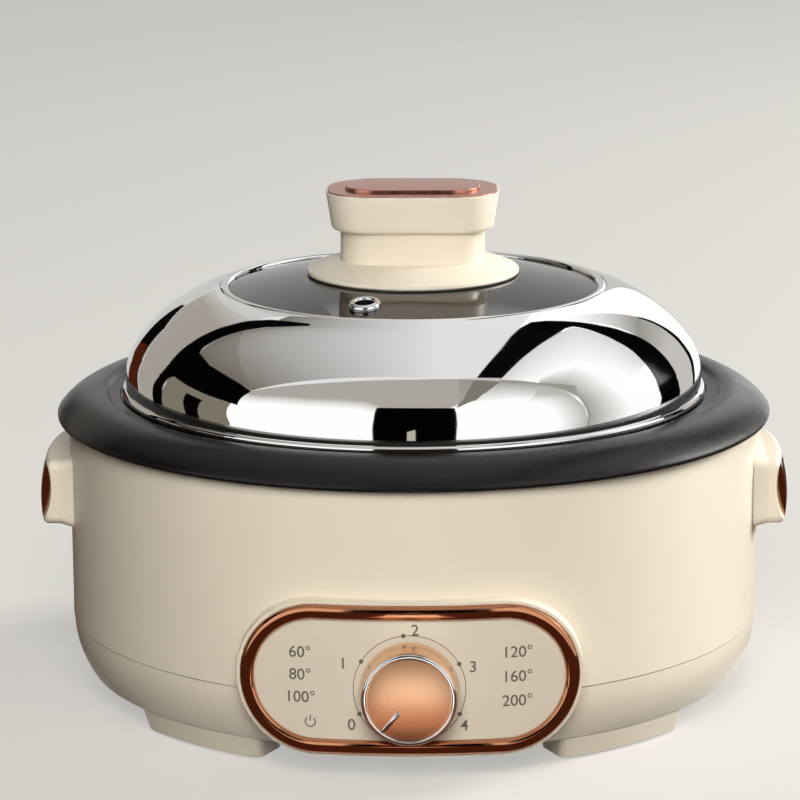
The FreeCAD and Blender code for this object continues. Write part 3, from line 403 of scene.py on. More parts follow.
def colour_drift(add, where, size, one, other, detail=3.0, kind="ShaderNodeTexNoise"):
    """Colour that wanders between two hex colours over that many millimetres."""
    drift = add(kind, {"Vector": where, "Scale": per_mm(size), "Detail": detail})
    mix = add("ShaderNodeMix", {0: drift, 6: linear(one), 7: linear(other)}, data_type="RGBA")
    return mix.outputs[2]


def value_drift(add, where, size, low, high, detail=4.0):
    """Number that wanders between two values over that many millimetres."""
    settings, reads = noise_of(where)
    drift = add("ShaderNodeTexNoise", reads | {"Scale": per_mm(size), "Detail": detail}, **settings)
    return add("ShaderNodeMapRange", {
        "Value": drift, "From Min": 0.3, "From Max": 0.7, "To Min": low, "To Max": high})


def relief(add, where, size, detail, depth, strength):
    """Bump of a noise of that size and depth in millimetres."""
    settings, reads = noise_of(where)
    height = add("ShaderNodeTexNoise", reads | {"Scale": per_mm(size), "Detail": detail}, **settings)
    return add("ShaderNodeBump", {"Height": height, "Distance": depth * MM, "Strength": strength})


def finish(name, tint, rough, bump=None, along=None, **rest):
    """Material from the drift of its colour and roughness and its relief, as the functions above take them.
    along: a kind of node, its inputs and its output, for what the relief follows in place of all three
    axes. In the names of other inputs _ stands for a space."""
    material, add, where = open_material(name)
    inputs = {"Base Color": colour_drift(add, where, *tint), "Roughness": value_drift(add, where, *rough)}
    if along:
        kind, values, output = along
        where = add(kind, {"Vector": where} | values).outputs[output]
    if bump:
        inputs["Normal"] = relief(add, where, *bump)
    return close_material(material, add, inputs | {key.replace("_", " "): rest[key] for key in rest})


# ---- Materials ----
def spun_rose_gold():
    """Dial face in spun aluminium: fine rings round its middle spread the light in a soft fan."""
    material, add, where = open_material("spun_rose_gold")
    middle = add("ShaderNodeMapping", {
        "Vector": where, "Location": (0.0, 0.0, -dial_z * MM), "Scale": (1.0, 0.0, 1.0)})
    away = add("ShaderNodeVectorMath", {0: middle}, operation="LENGTH").outputs["Value"]
    # The tool's feed is about 0.1 mm a turn; 0.45 mm is the finest that shows.
    return close_material(material, add, {
        "Base Color": colour_drift(add, where, 40.0, "#DDAE87", "#E3B790"),
        "Metallic": 1.0,
        "Roughness": value_drift(add, away, 0.45, 0.22, 0.26, 3.0),
        "Normal": relief(add, away, 0.45, 3.0, 0.01, 0.06)})


# Turned and anodised aluminium, pink gold: satin, with the turning marks round the dial's side.
# The tool's feed is about 0.1 mm a turn; 0.5 mm is the finest that shows.
anodised = finish("anodised_rose_gold", (30.0, "#DCB18B", "#E2BA96"), (8.0, 0.20, 0.27),
                  (0.5, 2.0, 0.01, 0.4), ("ShaderNodeSeparateXYZ", {}, "Y"), Metallic=1.0)

# Stainless steel, spun and mirror-polished: sharp reflections, faintly rippled by the spinning,
# which leaves shallow rings some 15 mm apart.
steel = finish("mirror_steel", (80.0, "#E3E2E0", "#E8E7E5"), (25.0, 0.02, 0.04), (15.0, 0.0, 0.02, 0.3),
               ("ShaderNodeSeparateXYZ", {}, "Z"), Metallic=1.0)

# Pressed aluminium sheet of the reflector: bright, with rolling lines along one way.
# Rolling lines are 0.1 mm apart; 0.7 mm is the finest that shows.
sheet = finish("bright_sheet_aluminium", (60.0, "#CDCECF", "#D9DADA"), (15.0, 0.18, 0.30),
               (0.7, 2.0, 0.01, 0.5), ("ShaderNodeMapping", {"Scale": (1.0, 0.02, 1.0)}, "Vector"),
               Metallic=1.0)

# Injection-moulded ABS from a fine-textured tool: even warm cream with a soft, wide sheen.
# The tool's grain is about 0.1 mm; 0.8 mm is the finest that shows.
cream = finish("moulded_abs_cream", (70.0, "#E9E0CF", "#EDE5D5"), (14.0, 0.30, 0.38), (0.8, 2.0, 0.02, 0.35),
               IOR=1.53, Specular_IOR_Level=0.33)

# Beige lacquer with fine mica over ABS: the flakes give a faint sparkle under a clear coat.
# Mica flakes are 0.05 mm; 0.5 mm is the finest that shows.
pearl = finish("pearl_lacquer_beige", (0.5, "#E6DDCB", "#ECE4D4", 0.0, "ShaderNodeTexVoronoi"),
               (20.0, 0.30, 0.36), Metallic=0.15, Coat_Weight=0.3, Coat_Roughness=0.12)

# Copper-coloured plating on moulded trim: mirror bright, with faint waves from the moulding.
copper = finish("plated_copper", (25.0, "#BA805D", "#C28865"), (6.0, 0.06, 0.12), (9.0, 1.0, 0.05, 0.3),
                Metallic=1.0)

# Anodised aluminium inlay of the knob: pinkish copper, bead-blasted to a fine satin.
# Bead-blast pits are 0.05 mm; 0.6 mm is the finest that shows.
satin_copper = finish("satin_copper", (18.0, "#B98472", "#C28F7D"), (5.0, 0.24, 0.32), (0.6, 2.0, 0.01, 0.4),
                      Metallic=1.0)

# Polished chrome plate on small trim, with the last traces of its buffing.
chrome = finish("polished_chrome", (10.0, "#DADCDE", "#E4E5E6"), (3.0, 0.05, 0.10), Metallic=1.0)

# Toughened smoked glass: clear of haze, greyish brown in its thickness.
smoked_glass = finish("smoked_glass", (120.0, "#4A4A49", "#50504F"), (60.0, 0.0, 0.01),
                      Transmission_Weight=1.0, IOR=1.58)

# Sprayed non-stick coating on die-cast aluminium: satin black with a fine orange peel, which is
# 1 to 2 mm from dimple to dimple.
black_coat = finish("nonstick_black", (0.6, "#0A0A0B", "#101112", 1.0), (10.0, 0.25, 0.31),
                    (1.3, 2.0, 0.12, 0.5), IOR=1.34)

# Screen-printed ink: matt grey brown, a little uneven in its density.
ink = finish("screen_print_grey", (1.5, "#5E574B", "#6C6458"), (2.0, 0.50, 0.65))

# Blue zinc plate on screws and nuts: bright grey, slightly clouded.
zinc = finish("zinc_plated_steel", (4.0, "#B4B8BB", "#C6C9C9"), (2.0, 0.25, 0.40), Metallic=1.0)

# Die-cast aluminium heating plate: grainy grey with flow marks.
cast = finish("die_cast_aluminium", (30.0, "#9C9D9E", "#B2B3B3"), (8.0, 0.45, 0.60), (1.2, 5.0, 0.08, 0.5),
              Metallic=1.0)

# Sheath of the heating element: steel dulled to straw and blue by the heat.
sheath = finish("oxidised_steel", (12.0, "#6E6458", "#5D6068"), (3.0, 0.35, 0.55), Metallic=1.0)

# Steatite insulators: dull white with a faint cast grain.
ceramic = finish("white_ceramic", (5.0, "#D9D6CC", "#E3E1D8"), (3.0, 0.45, 0.60))

# Brass pins of the inlet, bright, rubbed by the connector.
brass = finish("nickelled_brass", (2.5, "#C9AC6A", "#D8C189"), (1.5, 0.15, 0.30), Metallic=1.0)

# Milky silicone seal: soft, slightly see-through.
silicone = finish("clear_silicone", (8.0, "#D2D1CB", "#DBDAD5"), (4.0, 0.40, 0.52), Subsurface_Weight=0.3)

# Rubber of the foot pads: dull black with a dusty bloom.
rubber = finish("moulded_rubber_black", (4.0, "#1B1B1B", "#272726"), (2.0, 0.65, 0.85))

# Black nylon of the inlet and the switch: moulded, half gloss.
nylon = finish("moulded_black_gloss", (10.0, "#161617", "#1E1E1F"), (5.0, 0.28, 0.40))

# Clear amber light pipe of the lamp.
amber = finish("amber_lens", (3.0, "#E09038", "#E8A050"), (2.0, 0.08, 0.15),
               Transmission_Weight=0.8, IOR=1.49)


# ---- Lid ----
def arc(x, z, radius, first, last, count):
    """Points on an arc round (x, z), from the first to the last angle, in degrees."""
    turns = [radians(first + (last - first) * i / count) for i in range(count + 1)]
    return [(x + radius * cos(t), z + radius * sin(t)) for t in turns]


def dome_side(inset):
    """Points from the dome's upright edge to its top, on the surface that much inside the outer one."""
    turn = radians(side_angle)
    side_x = lid_radius - side_curve
    shift = top_curve - side_curve
    top_x, top_z = side_x - shift * cos(turn), shoulder - shift * sin(turn)
    end = degrees(acos((ring_outer + lid_gap - top_x) / (top_curve - inset)))
    return (arc(side_x, shoulder, side_curve - inset, 0.0, side_angle, 36)
            + arc(top_x, top_z, top_curve - inset, side_angle, end, 44)[1:])


def glass_height(radius, inset=0.0):
    return glass_centre + sqrt((glass_curve - inset) ** 2 - radius ** 2)


def make_dome():
    inner = lid_radius - lid_sheet
    tuck = sqrt(bead_radius ** 2 - lid_sheet ** 2)
    bead = outline((lid_radius, bead_height + bead_radius),
                   ((lid_radius + bead_radius, bead_height), (lid_radius, bead_height - bead_radius)),
                   ((lid_radius - bead_radius, bead_height), (inner, bead_height + tuck)), turn=10)
    side = dome_side(lid_sheet) + dome_side(0.0)[::-1]
    dress(turned("lid_dome_mirror", bead + side, count=fine_steps), steel, "lid_dome")


def make_glass():
    steps = [glass_bore + (glass_radius - glass_bore) * i / 24 for i in range(25)]
    low = [(r, glass_height(r, glass_thickness)) for r in steps]
    high = [(r, glass_height(r)) for r in reversed(steps)]
    glass = turned("lid_glass_smoked", low + high, count=fine_steps)
    hole = vent_bore + vent_sleeve + 0.2
    cutter = turned("vent_cutter", [(0.1, -9.0), (hole, -9.0), (hole, 5.0), (0.1, 5.0)], vent_place(), 64)
    dress(cut_out(glass, cutter), smoked_glass, "lid_glass")


def make_glass_ring():
    r = glass_radius
    lap = r - ring_lap
    under = glass_height(r, glass_thickness) - glass_play
    lap_under = glass_height(lap, glass_thickness) - glass_play
    top = glass_height(r) + glass_play
    lip = r - 0.5 * ring_width
    points = outline(
        (lap, lap_under), (lap, lap_under - 1.0), (ring_outer, under - 1.0),
        (ring_outer, top + 0.5 * ring_crown),
        ((ring_outer - 0.8 * ring_width, top + ring_crown), (lip, top + 0.8)), (lip, top + 0.3),
        (r + 0.2, top), (r + 0.2, under), turn=10)
    dress(turned("glass_ring_mirror", points, count=fine_steps), steel, "glass_rim")


def vent_place():
    """Place of the steam vent: a turn that tips +Z square to the glass, then the way to its spot."""
    turn = radians(vent_angle)
    spot = Vector((vent_ring * cos(turn), vent_ring * sin(turn), glass_height(vent_ring)))
    upright = spot - Vector((0.0, 0.0, glass_centre))
    tip = Vector((0.0, 0.0, 1.0)).rotation_difference(upright)
    return Matrix.Translation(spot) @ tip.to_matrix().to_4x4()


def make_vent():
    outer = vent_bore + vent_sleeve
    low = -glass_thickness - glass_play
    points = outline(
        (vent_bore, low - vent_tail), (outer + vent_sleeve, low - vent_tail), (outer + vent_sleeve, low),
        (outer, low), (outer, glass_play), (vent_flange, glass_play), (vent_flange, 0.5 * vent_rise),
        ((vent_flange - 0.8, 0.9 * vent_rise), (vent_flange - 1.8, vent_rise)), (vent_bore + 1.0, vent_rise),
        ((vent_bore + 0.3, vent_rise - 0.3), (vent_bore, vent_rise - 1.0)), turn=15)
    dress(turned("vent_eyelet_chrome", points, vent_place(), 64), chrome, "vent_eyelet")


# ---- Knob ----
def make_flange():
    half = flange_radius / 2
    edge = glass_height(flange_radius) + glass_play
    top = edge + flange_edge
    flat = neck_length / 2 + 0.9
    points = outline(
        (knob_bolt, glass_height(knob_bolt) + glass_play),
        ((half, glass_height(half) + glass_play), (flange_radius - 1.2, edge + 0.1)),
        (flange_radius - 1.2, edge + 0.5), (flange_radius - 0.3, edge + 0.6), (flange_radius, edge + 0.8),
        (flange_radius, top - 0.8), ((flange_radius - 0.25, top - 0.25), (flange_radius - 0.9, top)),
        (((flange_radius + flat) / 2, (neck_base + top) / 2 + 0.4), (flat, neck_base)),
        (knob_bolt, neck_base), turn=2)
    dress(turned("knob_flange_cream", points), cream, "knob_flange")


def rounded_edge(length, depth, corner, height, radius, outward=False):
    """Rings up a rounded edge, from the full size inwards, or outwards to the full size."""
    rings = []
    for angle in range(0, 91, 15):
        t = radians(angle)
        inset = radius * (1 - sin(t) if outward else 1 - cos(t))
        rise = radius * (1 - cos(t) if outward else sin(t))
        rings.append(rounded(length - 2 * inset, depth - 2 * inset, corner - inset, height + rise))
    return rings


def make_grip():
    neck_top = cup_top - cup_height
    lip = cup_lip / 2
    tray = (cup_length - 2 * cup_lip, cup_depth - 2 * cup_lip, cup_corner - cup_lip)
    neck = ((0.0, neck_base), (0.0, neck_top - 0.6), (0.2, neck_top - 0.15), (0.6, neck_top))
    rings = [rounded(neck_length + 2 * out, neck_depth + 2 * out, neck_corner + out, height)
             for out, height in neck]
    rings += rounded_edge(cup_length - cup_flare, cup_depth - cup_flare, cup_corner - cup_flare / 2, neck_top,
                          cup_round, outward=True)
    rings += rounded_edge(cup_length, cup_depth, cup_corner, cup_top - lip, lip)
    rings += [rounded(*tray, cup_top - 0.2), rounded(*tray, plate_seat)]
    dress(finished("knob_grip_cream", skin(rings, False), crease=50), cream, "knob_grip")


def make_knob_trim():
    for name, node, corner, edge in (("knob_plate_satin", "knob_plate", cup_corner - cup_lip, 0.4),
                                     ("knob_tile_satin", "knob_tile", tile_corner, 0.7)):
        low, high = span(node)
        length, depth = high.x - low.x, high.y - low.y
        rings = [rounded(length, depth, corner, low.z)]
        rings += rounded_edge(length, depth, corner, high.z - edge, edge)
        dress(finished(name, skin(rings, False)), satin_copper, node)


# ---- Pot ----
def make_pot():
    slant = sqrt(0.5)
    flat = 1 - slant
    outer_top = mouth_radius + pot_wall
    outer_low = outer_top - pot_draft
    middle = outer_low - pot_corner
    low = pot_bottom + pot_corner
    inner_corner = pot_corner - pot_wall
    lip = seat - 1.2
    edge = seat + 1.0
    shelf = crest - shelf_drop
    step = shelf - shelf_step
    shelf_outer = lid_radius + 7.0
    shelf_inner = lid_radius + 2.4
    rib_outer = rim_radius - 10.5
    rib_inner = rim_radius - 14.0
    under = crest - 6.0
    lip_inner = rim_radius - rim_lip
    bulge = ((rim_radius + crest_radius + rim_bulge) / 2, (edge + crest) / 2 + rim_bulge)
    points = outline(
        (0.0, pot_bottom), (middle, pot_bottom),
        ((middle + pot_corner * slant, pot_bottom + pot_corner * flat), (outer_low, low)),
        (outer_top, seat + 2.0), (outer_top + 3.0, under), (rib_inner, under), (rib_inner, seat),
        (rib_outer, seat), (rib_outer, seat + 3.0), (lip_inner, seat + 0.6), (lip_inner, lip + 0.5),
        ((rim_radius - rim_lip / 2, lip - 0.1), (rim_radius - 0.3, lip + 0.3)),
        ((rim_radius - 0.05, lip + 0.7), (rim_radius, edge)),
        (bulge, (crest_radius, crest)),
        ((crest_radius - 1.4, crest - 0.35), (crest_radius - 2.4, crest - 1.4)),
        (shelf_outer + 0.3, shelf + 0.3), ((shelf_outer, shelf + 0.1), (shelf_outer - 0.4, shelf)),
        (shelf_inner + 0.6, shelf), ((shelf_inner + 0.15, shelf - 0.15), (shelf_inner, shelf - 0.5)),
        (shelf_inner, step), (mouth_radius + 1.5, step),
        ((mouth_radius + 1.5 * flat, step - 1.5 * flat), (mouth_radius, step - 1.5)),
        (outer_low - pot_wall, low),
        ((middle + inner_corner * slant, low - (pot_corner - pot_floor) * slant),
         (middle, pot_bottom + pot_floor)),
        (0.0, pot_bottom + pot_floor), turn=6)
    dress(turned("inner_pot_coated", points, count=fine_steps), black_coat, "inner_pot")


# ---- Panel ----
def on_panel(x, z, height):
    """Point on the curved panel, that much in front of the bezel's seat."""
    return x, panel_axis - sqrt((pocket_curve + height) ** 2 - x ** 2), z


def rounded_curve(add, width, height, corner, count):
    """Outline of a rectangle whose round corners have that many steps."""
    line = add("GeometryNodeCurvePrimitiveQuadrilateral", {"Width": width, "Height": height})
    return add("GeometryNodeFilletCurve", {"Curve": line, "Count": count, "Radius": corner}, mode="POLY")


def ring_tree():
    """A rounded bar swept round a stadium and laid on the curved panel."""
    tree, add, given = new_tree(
        "ring_on_panel", ("Length", "Height", "Width", "Rise", "Round", "Curve", "Axis", "Level"))
    length = add("ShaderNodeMath", {0: given["Length"], 1: given["Width"]}, operation="SUBTRACT")
    height = add("ShaderNodeMath", {0: given["Height"], 1: given["Width"]}, operation="SUBTRACT")
    corner = add("ShaderNodeMath", {0: height, 1: 0.4999}, operation="MULTIPLY")
    way = rounded_curve(add, length, height, corner, 48)
    path = add("GeometryNodeResampleCurve", {"Curve": way, "Length": 1.2}, mode="LENGTH")
    profile = rounded_curve(add, given["Width"], given["Rise"], given["Round"], 10)
    swept = add("GeometryNodeCurveToMesh", {"Curve": path, "Profile Curve": profile})

    point = add("GeometryNodeInputPosition")
    flat = add("ShaderNodeSeparateXYZ", {0: point}).outputs
    half_rise = add("ShaderNodeMath", {0: given["Rise"], 1: 0.5}, operation="MULTIPLY")
    lifted = add("ShaderNodeMath", {0: flat["Z"], 1: half_rise}, operation="ADD")
    radius = add("ShaderNodeMath", {0: lifted, 1: given["Curve"]}, operation="ADD")
    radius_square = add("ShaderNodeMath", {0: radius, 1: radius}, operation="MULTIPLY")
    side_square = add("ShaderNodeMath", {0: flat["X"], 1: flat["X"]}, operation="MULTIPLY")
    rest = add("ShaderNodeMath", {0: radius_square, 1: side_square}, operation="SUBTRACT")
    depth = add("ShaderNodeMath", {0: rest}, operation="SQRT")
    y = add("ShaderNodeMath", {0: given["Axis"], 1: depth}, operation="SUBTRACT")
    z = add("ShaderNodeMath", {0: flat["Y"], 1: given["Level"]}, operation="ADD")
    spot = add("ShaderNodeCombineXYZ", {"X": flat["X"], "Y": y, "Z": z})
    laid = add("GeometryNodeSetPosition", {"Geometry": swept, "Position": spot})
    close_tree(add, given, laid)
    return tree


def make_bezel():
    ring = grown("bezel_ring_plated", ring_tree(), [(0.0, 0.0, 0.0)], {
        "Length": panel_width, "Height": panel_height, "Width": bezel_width, "Rise": bezel_rise,
        "Round": bezel_round, "Curve": pocket_curve, "Axis": panel_axis, "Level": panel_z,
        "Material": copper})
    dress(ring, copper, "bezel_ring")


def ribbon(path, width, closed):
    """Thin printed strip along (x, z) points of the panel."""
    rings = []
    for i, (x, z) in enumerate(path):
        before = path[i - 1] if closed or i else path[i]
        after = path[(i + 1) % len(path)] if closed or i + 1 < len(path) else path[i]
        along = Vector((after[0] - before[0], after[1] - before[1])).normalized() * width / 2
        a = (x - along.y, z + along.x)
        b = (x + along.y, z - along.x)
        rings.append([on_panel(*spot, height) for spot, height in
                      ((a, ink_high), (b, ink_high), (b, ink_low), (a, ink_low))])
    return skin(rings, closed)


def lettering(words, x, z):
    """Printed figures, centred at (x, z) of the panel."""
    curve = bpy.data.curves.new("figures", "FONT")
    curve.body = words
    curve.size = figure_size
    curve.align_x = curve.align_y = "CENTER"
    curve.offset = 0.008 * figure_size      # a hair thicker, which closes pin holes at the cusps
    curve.extrude = (ink_high - ink_low) / 2
    text = new_object("figures", curve)
    shape = bmesh.new()
    shape.from_mesh(real_mesh(text))
    bpy.data.objects.remove(text)
    bmesh.ops.remove_doubles(shape, verts=shape.verts, dist=1e-5)
    for v in shape.verts:
        v.co = on_panel(x + v.co.x, z + v.co.y, (ink_low + ink_high) / 2 + v.co.z)
    return shape


def make_marks():
    marks = [ribbon(arc(0.0, dial_z, scale_radius, 0, 360, 120)[:-1], scale_line, True)]
    for words, x, z in (("0", -24.2, -19.6), ("1", -27.6, 6.8), ("2", 2.4, 21.5), ("3", 26.4, 5.4),
                        ("4", 22.8, -19.8)):
        marks.append(lettering(words, x, panel_z + z))
    for column, pitch, figures in ((-45.6, 9.7, ("60", "80", "100")), (44.9, 10.5, ("120", "160", "200"))):
        for row, words in enumerate(figures):
            marks.append(lettering(words + "\u00b0", column, panel_z + 11.0 - pitch * row))
    x, z = power_place
    marks.append(ribbon(arc(x, z, power_radius, 125, 415, 40)[:-1], power_line, False))
    marks.append(ribbon([(x, z + 0.4), (x, z + 2.9)], power_line, False))

    joined = bmesh.new()
    for shape in marks:
        mark = bpy.data.meshes.new("mark")
        shape.to_mesh(mark)
        shape.free()
        joined.from_mesh(mark)
        bpy.data.meshes.remove(mark)
    dress(finished("panel_marks", joined), ink, body="base", slot="panel_beige")


def dot_tree():
    """A flat dot on every point, square to the curved panel."""
    tree, add, given = new_tree("dots_on_panel", ("Radius", "Thickness", "Axis"))
    dot = add("GeometryNodeMeshCylinder", {
        "Vertices": 24, "Radius": given["Radius"], "Depth": given["Thickness"]})
    axis = add("ShaderNodeCombineXYZ", {"Y": given["Axis"]})
    point = add("GeometryNodeInputPosition")
    level = add("ShaderNodeVectorMath", {0: point, 1: (1.0, 1.0, 0.0)}, operation="MULTIPLY")
    outward = add("ShaderNodeVectorMath", {0: level, 1: axis}, operation="SUBTRACT")
    spread_tree(add, given, dot, outward)
    return tree


def make_dots():
    places = [on_panel(*arc(0.0, dial_z, scale_radius, a, a, 1)[0], (ink_low + ink_high) / 2)
              for a in stop_angles]
    dots = grown("dial_dots", dot_tree(), places,
                 {"Radius": stop_dot, "Thickness": 0.06, "Axis": panel_axis, "Material": ink})
    dress(dots, ink, body="base", slot="panel_beige")


# ---- Dial ----
def dial_place():
    """Tips +Z towards the front and moves it to the dial's axis."""
    return Matrix.Translation((0.0, 0.0, dial_z)) @ Matrix.Rotation(radians(90), 4, "X")


def make_dial():
    r = dial_front_radius
    front = dial_front
    floor = front - 1.2
    under = floor - 2.2
    land = r - 2.2
    seat_front = front - 0.6
    hub = dial_base + 3.3
    hub_bore = 3.05
    hub_radius = 6.0
    wall = 1.9
    points = outline(
        (hub_bore, hub), (hub_bore, under), (0.0, under), (0.0, floor), (land, floor), (land, seat_front),
        (r - 0.35, seat_front), ((r - 0.1, front - 0.7), (r, front - 0.9)), (dial_base_radius, dial_base),
        (dial_base_radius - wall, dial_base), (r - wall, under), (hub_radius, under), (hub_radius, hub),
        turn=10)
    dress(turned("dial_side_turned", points, dial_place()), anodised, "dial_body")
    points = outline(
        (r - 0.4, seat_front + 0.02), (r - 0.4, front - 0.5),
        ((r - 0.6, front - 0.1), (r - 1.0, front + 0.1)), (r - 1.6, front + 0.1),
        ((land + 0.25, front), (land + 0.05, front - 0.3)),
        (land + 0.05, seat_front + 0.02), turn=20)
    dress(turned("dial_edge_chrome", points, dial_place()), chrome, body="dial", slot="bright_trim")
    edge = land - 0.5
    level = front - 0.45
    crown = 0.6                 # of the face's middle over its edge
    points = outline((0.0, floor + 0.02), (edge, floor + 0.02), (edge, level),
                     ((edge / 2, level + 0.75 * crown), (0.0, level + crown)), turn=0.5)
    dress(turned("dial_face_spun", points, dial_place()), spun_rose_gold(), "dial_face")


def make_pointer():
    """Bright bar with a bevelled edge, from near the middle of the face to its rim."""
    length = pointer_outer - pointer_inner
    middle = (pointer_outer + pointer_inner) / 2
    turn = (dial_place() @ Matrix.Rotation(radians(pointer_angle), 4, "Z")
            @ Matrix.Translation((middle, 0.0, dial_front - 0.3)))
    rings = [rounded(length - 2 * inset, pointer_width - 2 * inset, pointer_width / 2 - inset, height, 5)
             for inset, height in ((0.0, 0.0), (0.0, 0.9), (0.25, 1.15))]
    dress(finished("dial_pointer_chrome", skin(rings, False), turn, 50), chrome, "dial_pointer")


# ---- Screws ----
def screw_tree():
    """A pan-head screw with a cross recess on every point, seated there, its head facing as told."""
    tree, add, given = new_tree(
        "cross_recess_screws",
        ("Head Radius", "Head Height", "Shank Radius", "Length", "Face Y", "Face Z"))
    ball = add("GeometryNodeMeshUVSphere", {"Segments": 40, "Rings": 20, "Radius": 1.0})
    blocks = []         # the ball's lower half, then the recess's two blades
    for block, level in (((3.0, 3.0, 3.0), -1.5), ((1.2, 0.3, 1.0), 1.0), ((0.3, 1.2, 1.06), 1.0)):
        cube = add("GeometryNodeMeshCube", {"Size": block})
        blocks.append(add("GeometryNodeTransform", {"Geometry": cube, "Translation": (0.0, 0.0, level)}))
    head = add("GeometryNodeMeshBoolean", {"Mesh 1": ball, "Mesh 2": blocks}, operation="DIFFERENCE")
    scale = add("ShaderNodeCombineXYZ", {
        "X": given["Head Radius"], "Y": given["Head Radius"], "Z": given["Head Height"]})
    shaped = add("GeometryNodeTransform", {"Geometry": head, "Scale": scale})
    shank = add("GeometryNodeMeshCylinder", {
        "Vertices": 24, "Radius": given["Shank Radius"], "Depth": given["Length"]})
    half_down = add("ShaderNodeMath", {0: given["Length"], 1: -0.5}, operation="MULTIPLY")
    drop = add("ShaderNodeCombineXYZ", {"Z": half_down})
    sunk = add("GeometryNodeTransform", {"Geometry": shank, "Translation": drop})
    whole = add("GeometryNodeJoinGeometry", {"Geometry": [shaped, sunk]})
    facing = add("ShaderNodeCombineXYZ", {"Y": given["Face Y"], "Z": given["Face Z"]})
    spread_tree(add, given, whole, facing)
    return tree


def make_screws():
    tree = screw_tree()
    low, high = span("inlet_screws")
    head_seat = high.y - screw_head
    radius = (high.z - low.z) / 2
    places = [(x, head_seat, (low.z + high.z) / 2) for x in (low.x + radius, high.x - radius)]
    inlet = grown("inlet_screws_cross", tree, places, {
        "Head Radius": radius, "Head Height": screw_head, "Shank Radius": screw_shank,
        "Length": head_seat - low.y, "Face Y": 1.0, "Face Z": 0.0, "Material": zinc})
    dress(inlet, zinc, "inlet_screws")
    low, high = span("base_screws")
    head_seat = low.z + screw_head
    ring = hypot(high.x - base_screw_head, low.y + base_screw_head)
    places = [(ring * cos(a), ring * sin(a), head_seat) for a in map(radians, base_screw_angles)]
    base = grown("base_screws_cross", tree, places, {
        "Head Radius": base_screw_head, "Head Height": screw_head, "Shank Radius": screw_shank,
        "Length": high.z - head_seat, "Face Y": 0.0, "Face Z": -1.0, "Material": zinc})
    dress(base, zinc, "base_screws")


# ---- Other CAD nodes ----
def paint_rest():
    finishes = {"zinc_steel": zinc, "pad_rubber": rubber, "lamp_amber": amber, "black_plastic": nylon,
                "seal_silicone": silicone, "cast_aluminium": cast, "element_steel": sheath,
                "sheet_aluminium": sheet, "ceramic_white": ceramic, "pin_brass": brass,
                "housing_cream": cream, "rose_gold": copper, "panel_beige": pearl}
    for node, part in frame["nodes"].items():
        if slot_of[node] in finishes:
            for place in part.material_slots:
                place.material = finishes[slot_of[node]]


# ---- Stage ----
def aimed(thing, place, target):
    """Puts a lamp or camera at a place, in metres, looking at the target."""
    thing.location = place
    thing.rotation_euler = (Vector(target) - Vector(place)).to_track_quat("-Z", "Y").to_euler()


def round_target(azimuth, elevation, distance, target):
    """Point at that distance. Azimuth 0 is in front, 90 to the right; both in degrees."""
    a, e = radians(azimuth), radians(elevation)
    return Vector(target) + distance * Vector((sin(a) * cos(e), -cos(a) * cos(e), sin(e)))


def make_camera():
    camera = new_object("camera", bpy.data.cameras.new("camera"))
    camera.data.sensor_fit = "HORIZONTAL"
    camera.data.sensor_width = sensor
    camera.data.lens = focal_pixels * sensor / picture
    camera.data.clip_start = 0.05
    aimed(camera, round_target(camera_azimuth, camera_elevation, camera_distance, aim), aim)
    bpy.context.view_layer.update()
    camera.matrix_world = camera.matrix_world @ Matrix.Rotation(radians(-camera_roll), 4, "Z")
    scene.camera = camera


def make_floor():
    """Pale floor: camera and glass see it lighter than the light that it throws back."""
    mesh = bpy.data.meshes.new("floor")
    corners = [(-1, -1), (1, -1), (1, 1), (-1, 1)]
    mesh.from_pydata([(x * floor_reach, y * floor_reach, 0.0) for x, y in corners], [], [(0, 1, 2, 3)])
    material, add, _ = open_material("floor_pale")
    ray = add("ShaderNodeLightPath").outputs
    clear = add("ShaderNodeMath", {0: ray["Is Camera Ray"], 1: ray["Is Transmission Ray"]},
                operation="MAXIMUM")
    tone = add("ShaderNodeMix", {0: clear, 6: linear("#77726D"), 7: linear("#D9D6D1")}, data_type="RGBA")
    paper = add("ShaderNodeBsdfDiffuse", {"Color": tone.outputs[2]})
    pale = add("ShaderNodeEmission", {"Color": linear("#F1EFEC")})
    share = add("ShaderNodeMath", {0: clear, 1: floor_glow}, operation="MULTIPLY")
    mixed = add("ShaderNodeMixShader", {0: share, 1: paper, 2: pale})
    add("ShaderNodeOutputMaterial", {"Surface": mixed})
    mesh.materials.append(material)
    floor = new_object("floor", mesh)
    floor.visible_glossy = False


def make_lamp(name, azimuth, elevation, distance, size, power, colour, sheen):
    """Soft lamp, in metres and watts. sheen: glossy surfaces catch its light; else they see cards alone."""
    light = bpy.data.lights.new(name, "AREA")
    light.size = size
    light.energy = power
    light.color = linear(colour)[:3]
    lamp = new_object(name, light)
    aimed(lamp, round_target(azimuth, elevation, distance, aim), aim)
    lamp.visible_glossy = sheen


def make_world(level, seen):
    """Even light of that level; camera, mirrors and glass see a brighter, plain surround."""
    world = bpy.data.worlds.new("studio")
    scene.world = world
    world.use_nodes = True
    world.node_tree.nodes.clear()
    add = partial(add_node, world.node_tree)
    ray = add("ShaderNodeLightPath").outputs
    watched = add("ShaderNodeMath", {0: ray["Is Camera Ray"], 1: ray["Is Glossy Ray"]}, operation="MAXIMUM")
    clear = add("ShaderNodeMath", {0: watched, 1: ray["Is Transmission Ray"]}, operation="MAXIMUM")
    strength = add("ShaderNodeMix", {0: clear, 2: level, 3: seen}, data_type="FLOAT")
    shade = add("ShaderNodeBackground", {"Color": linear("#F4F3F1"), "Strength": strength})
    add("ShaderNodeOutputWorld", {"Surface": shade})


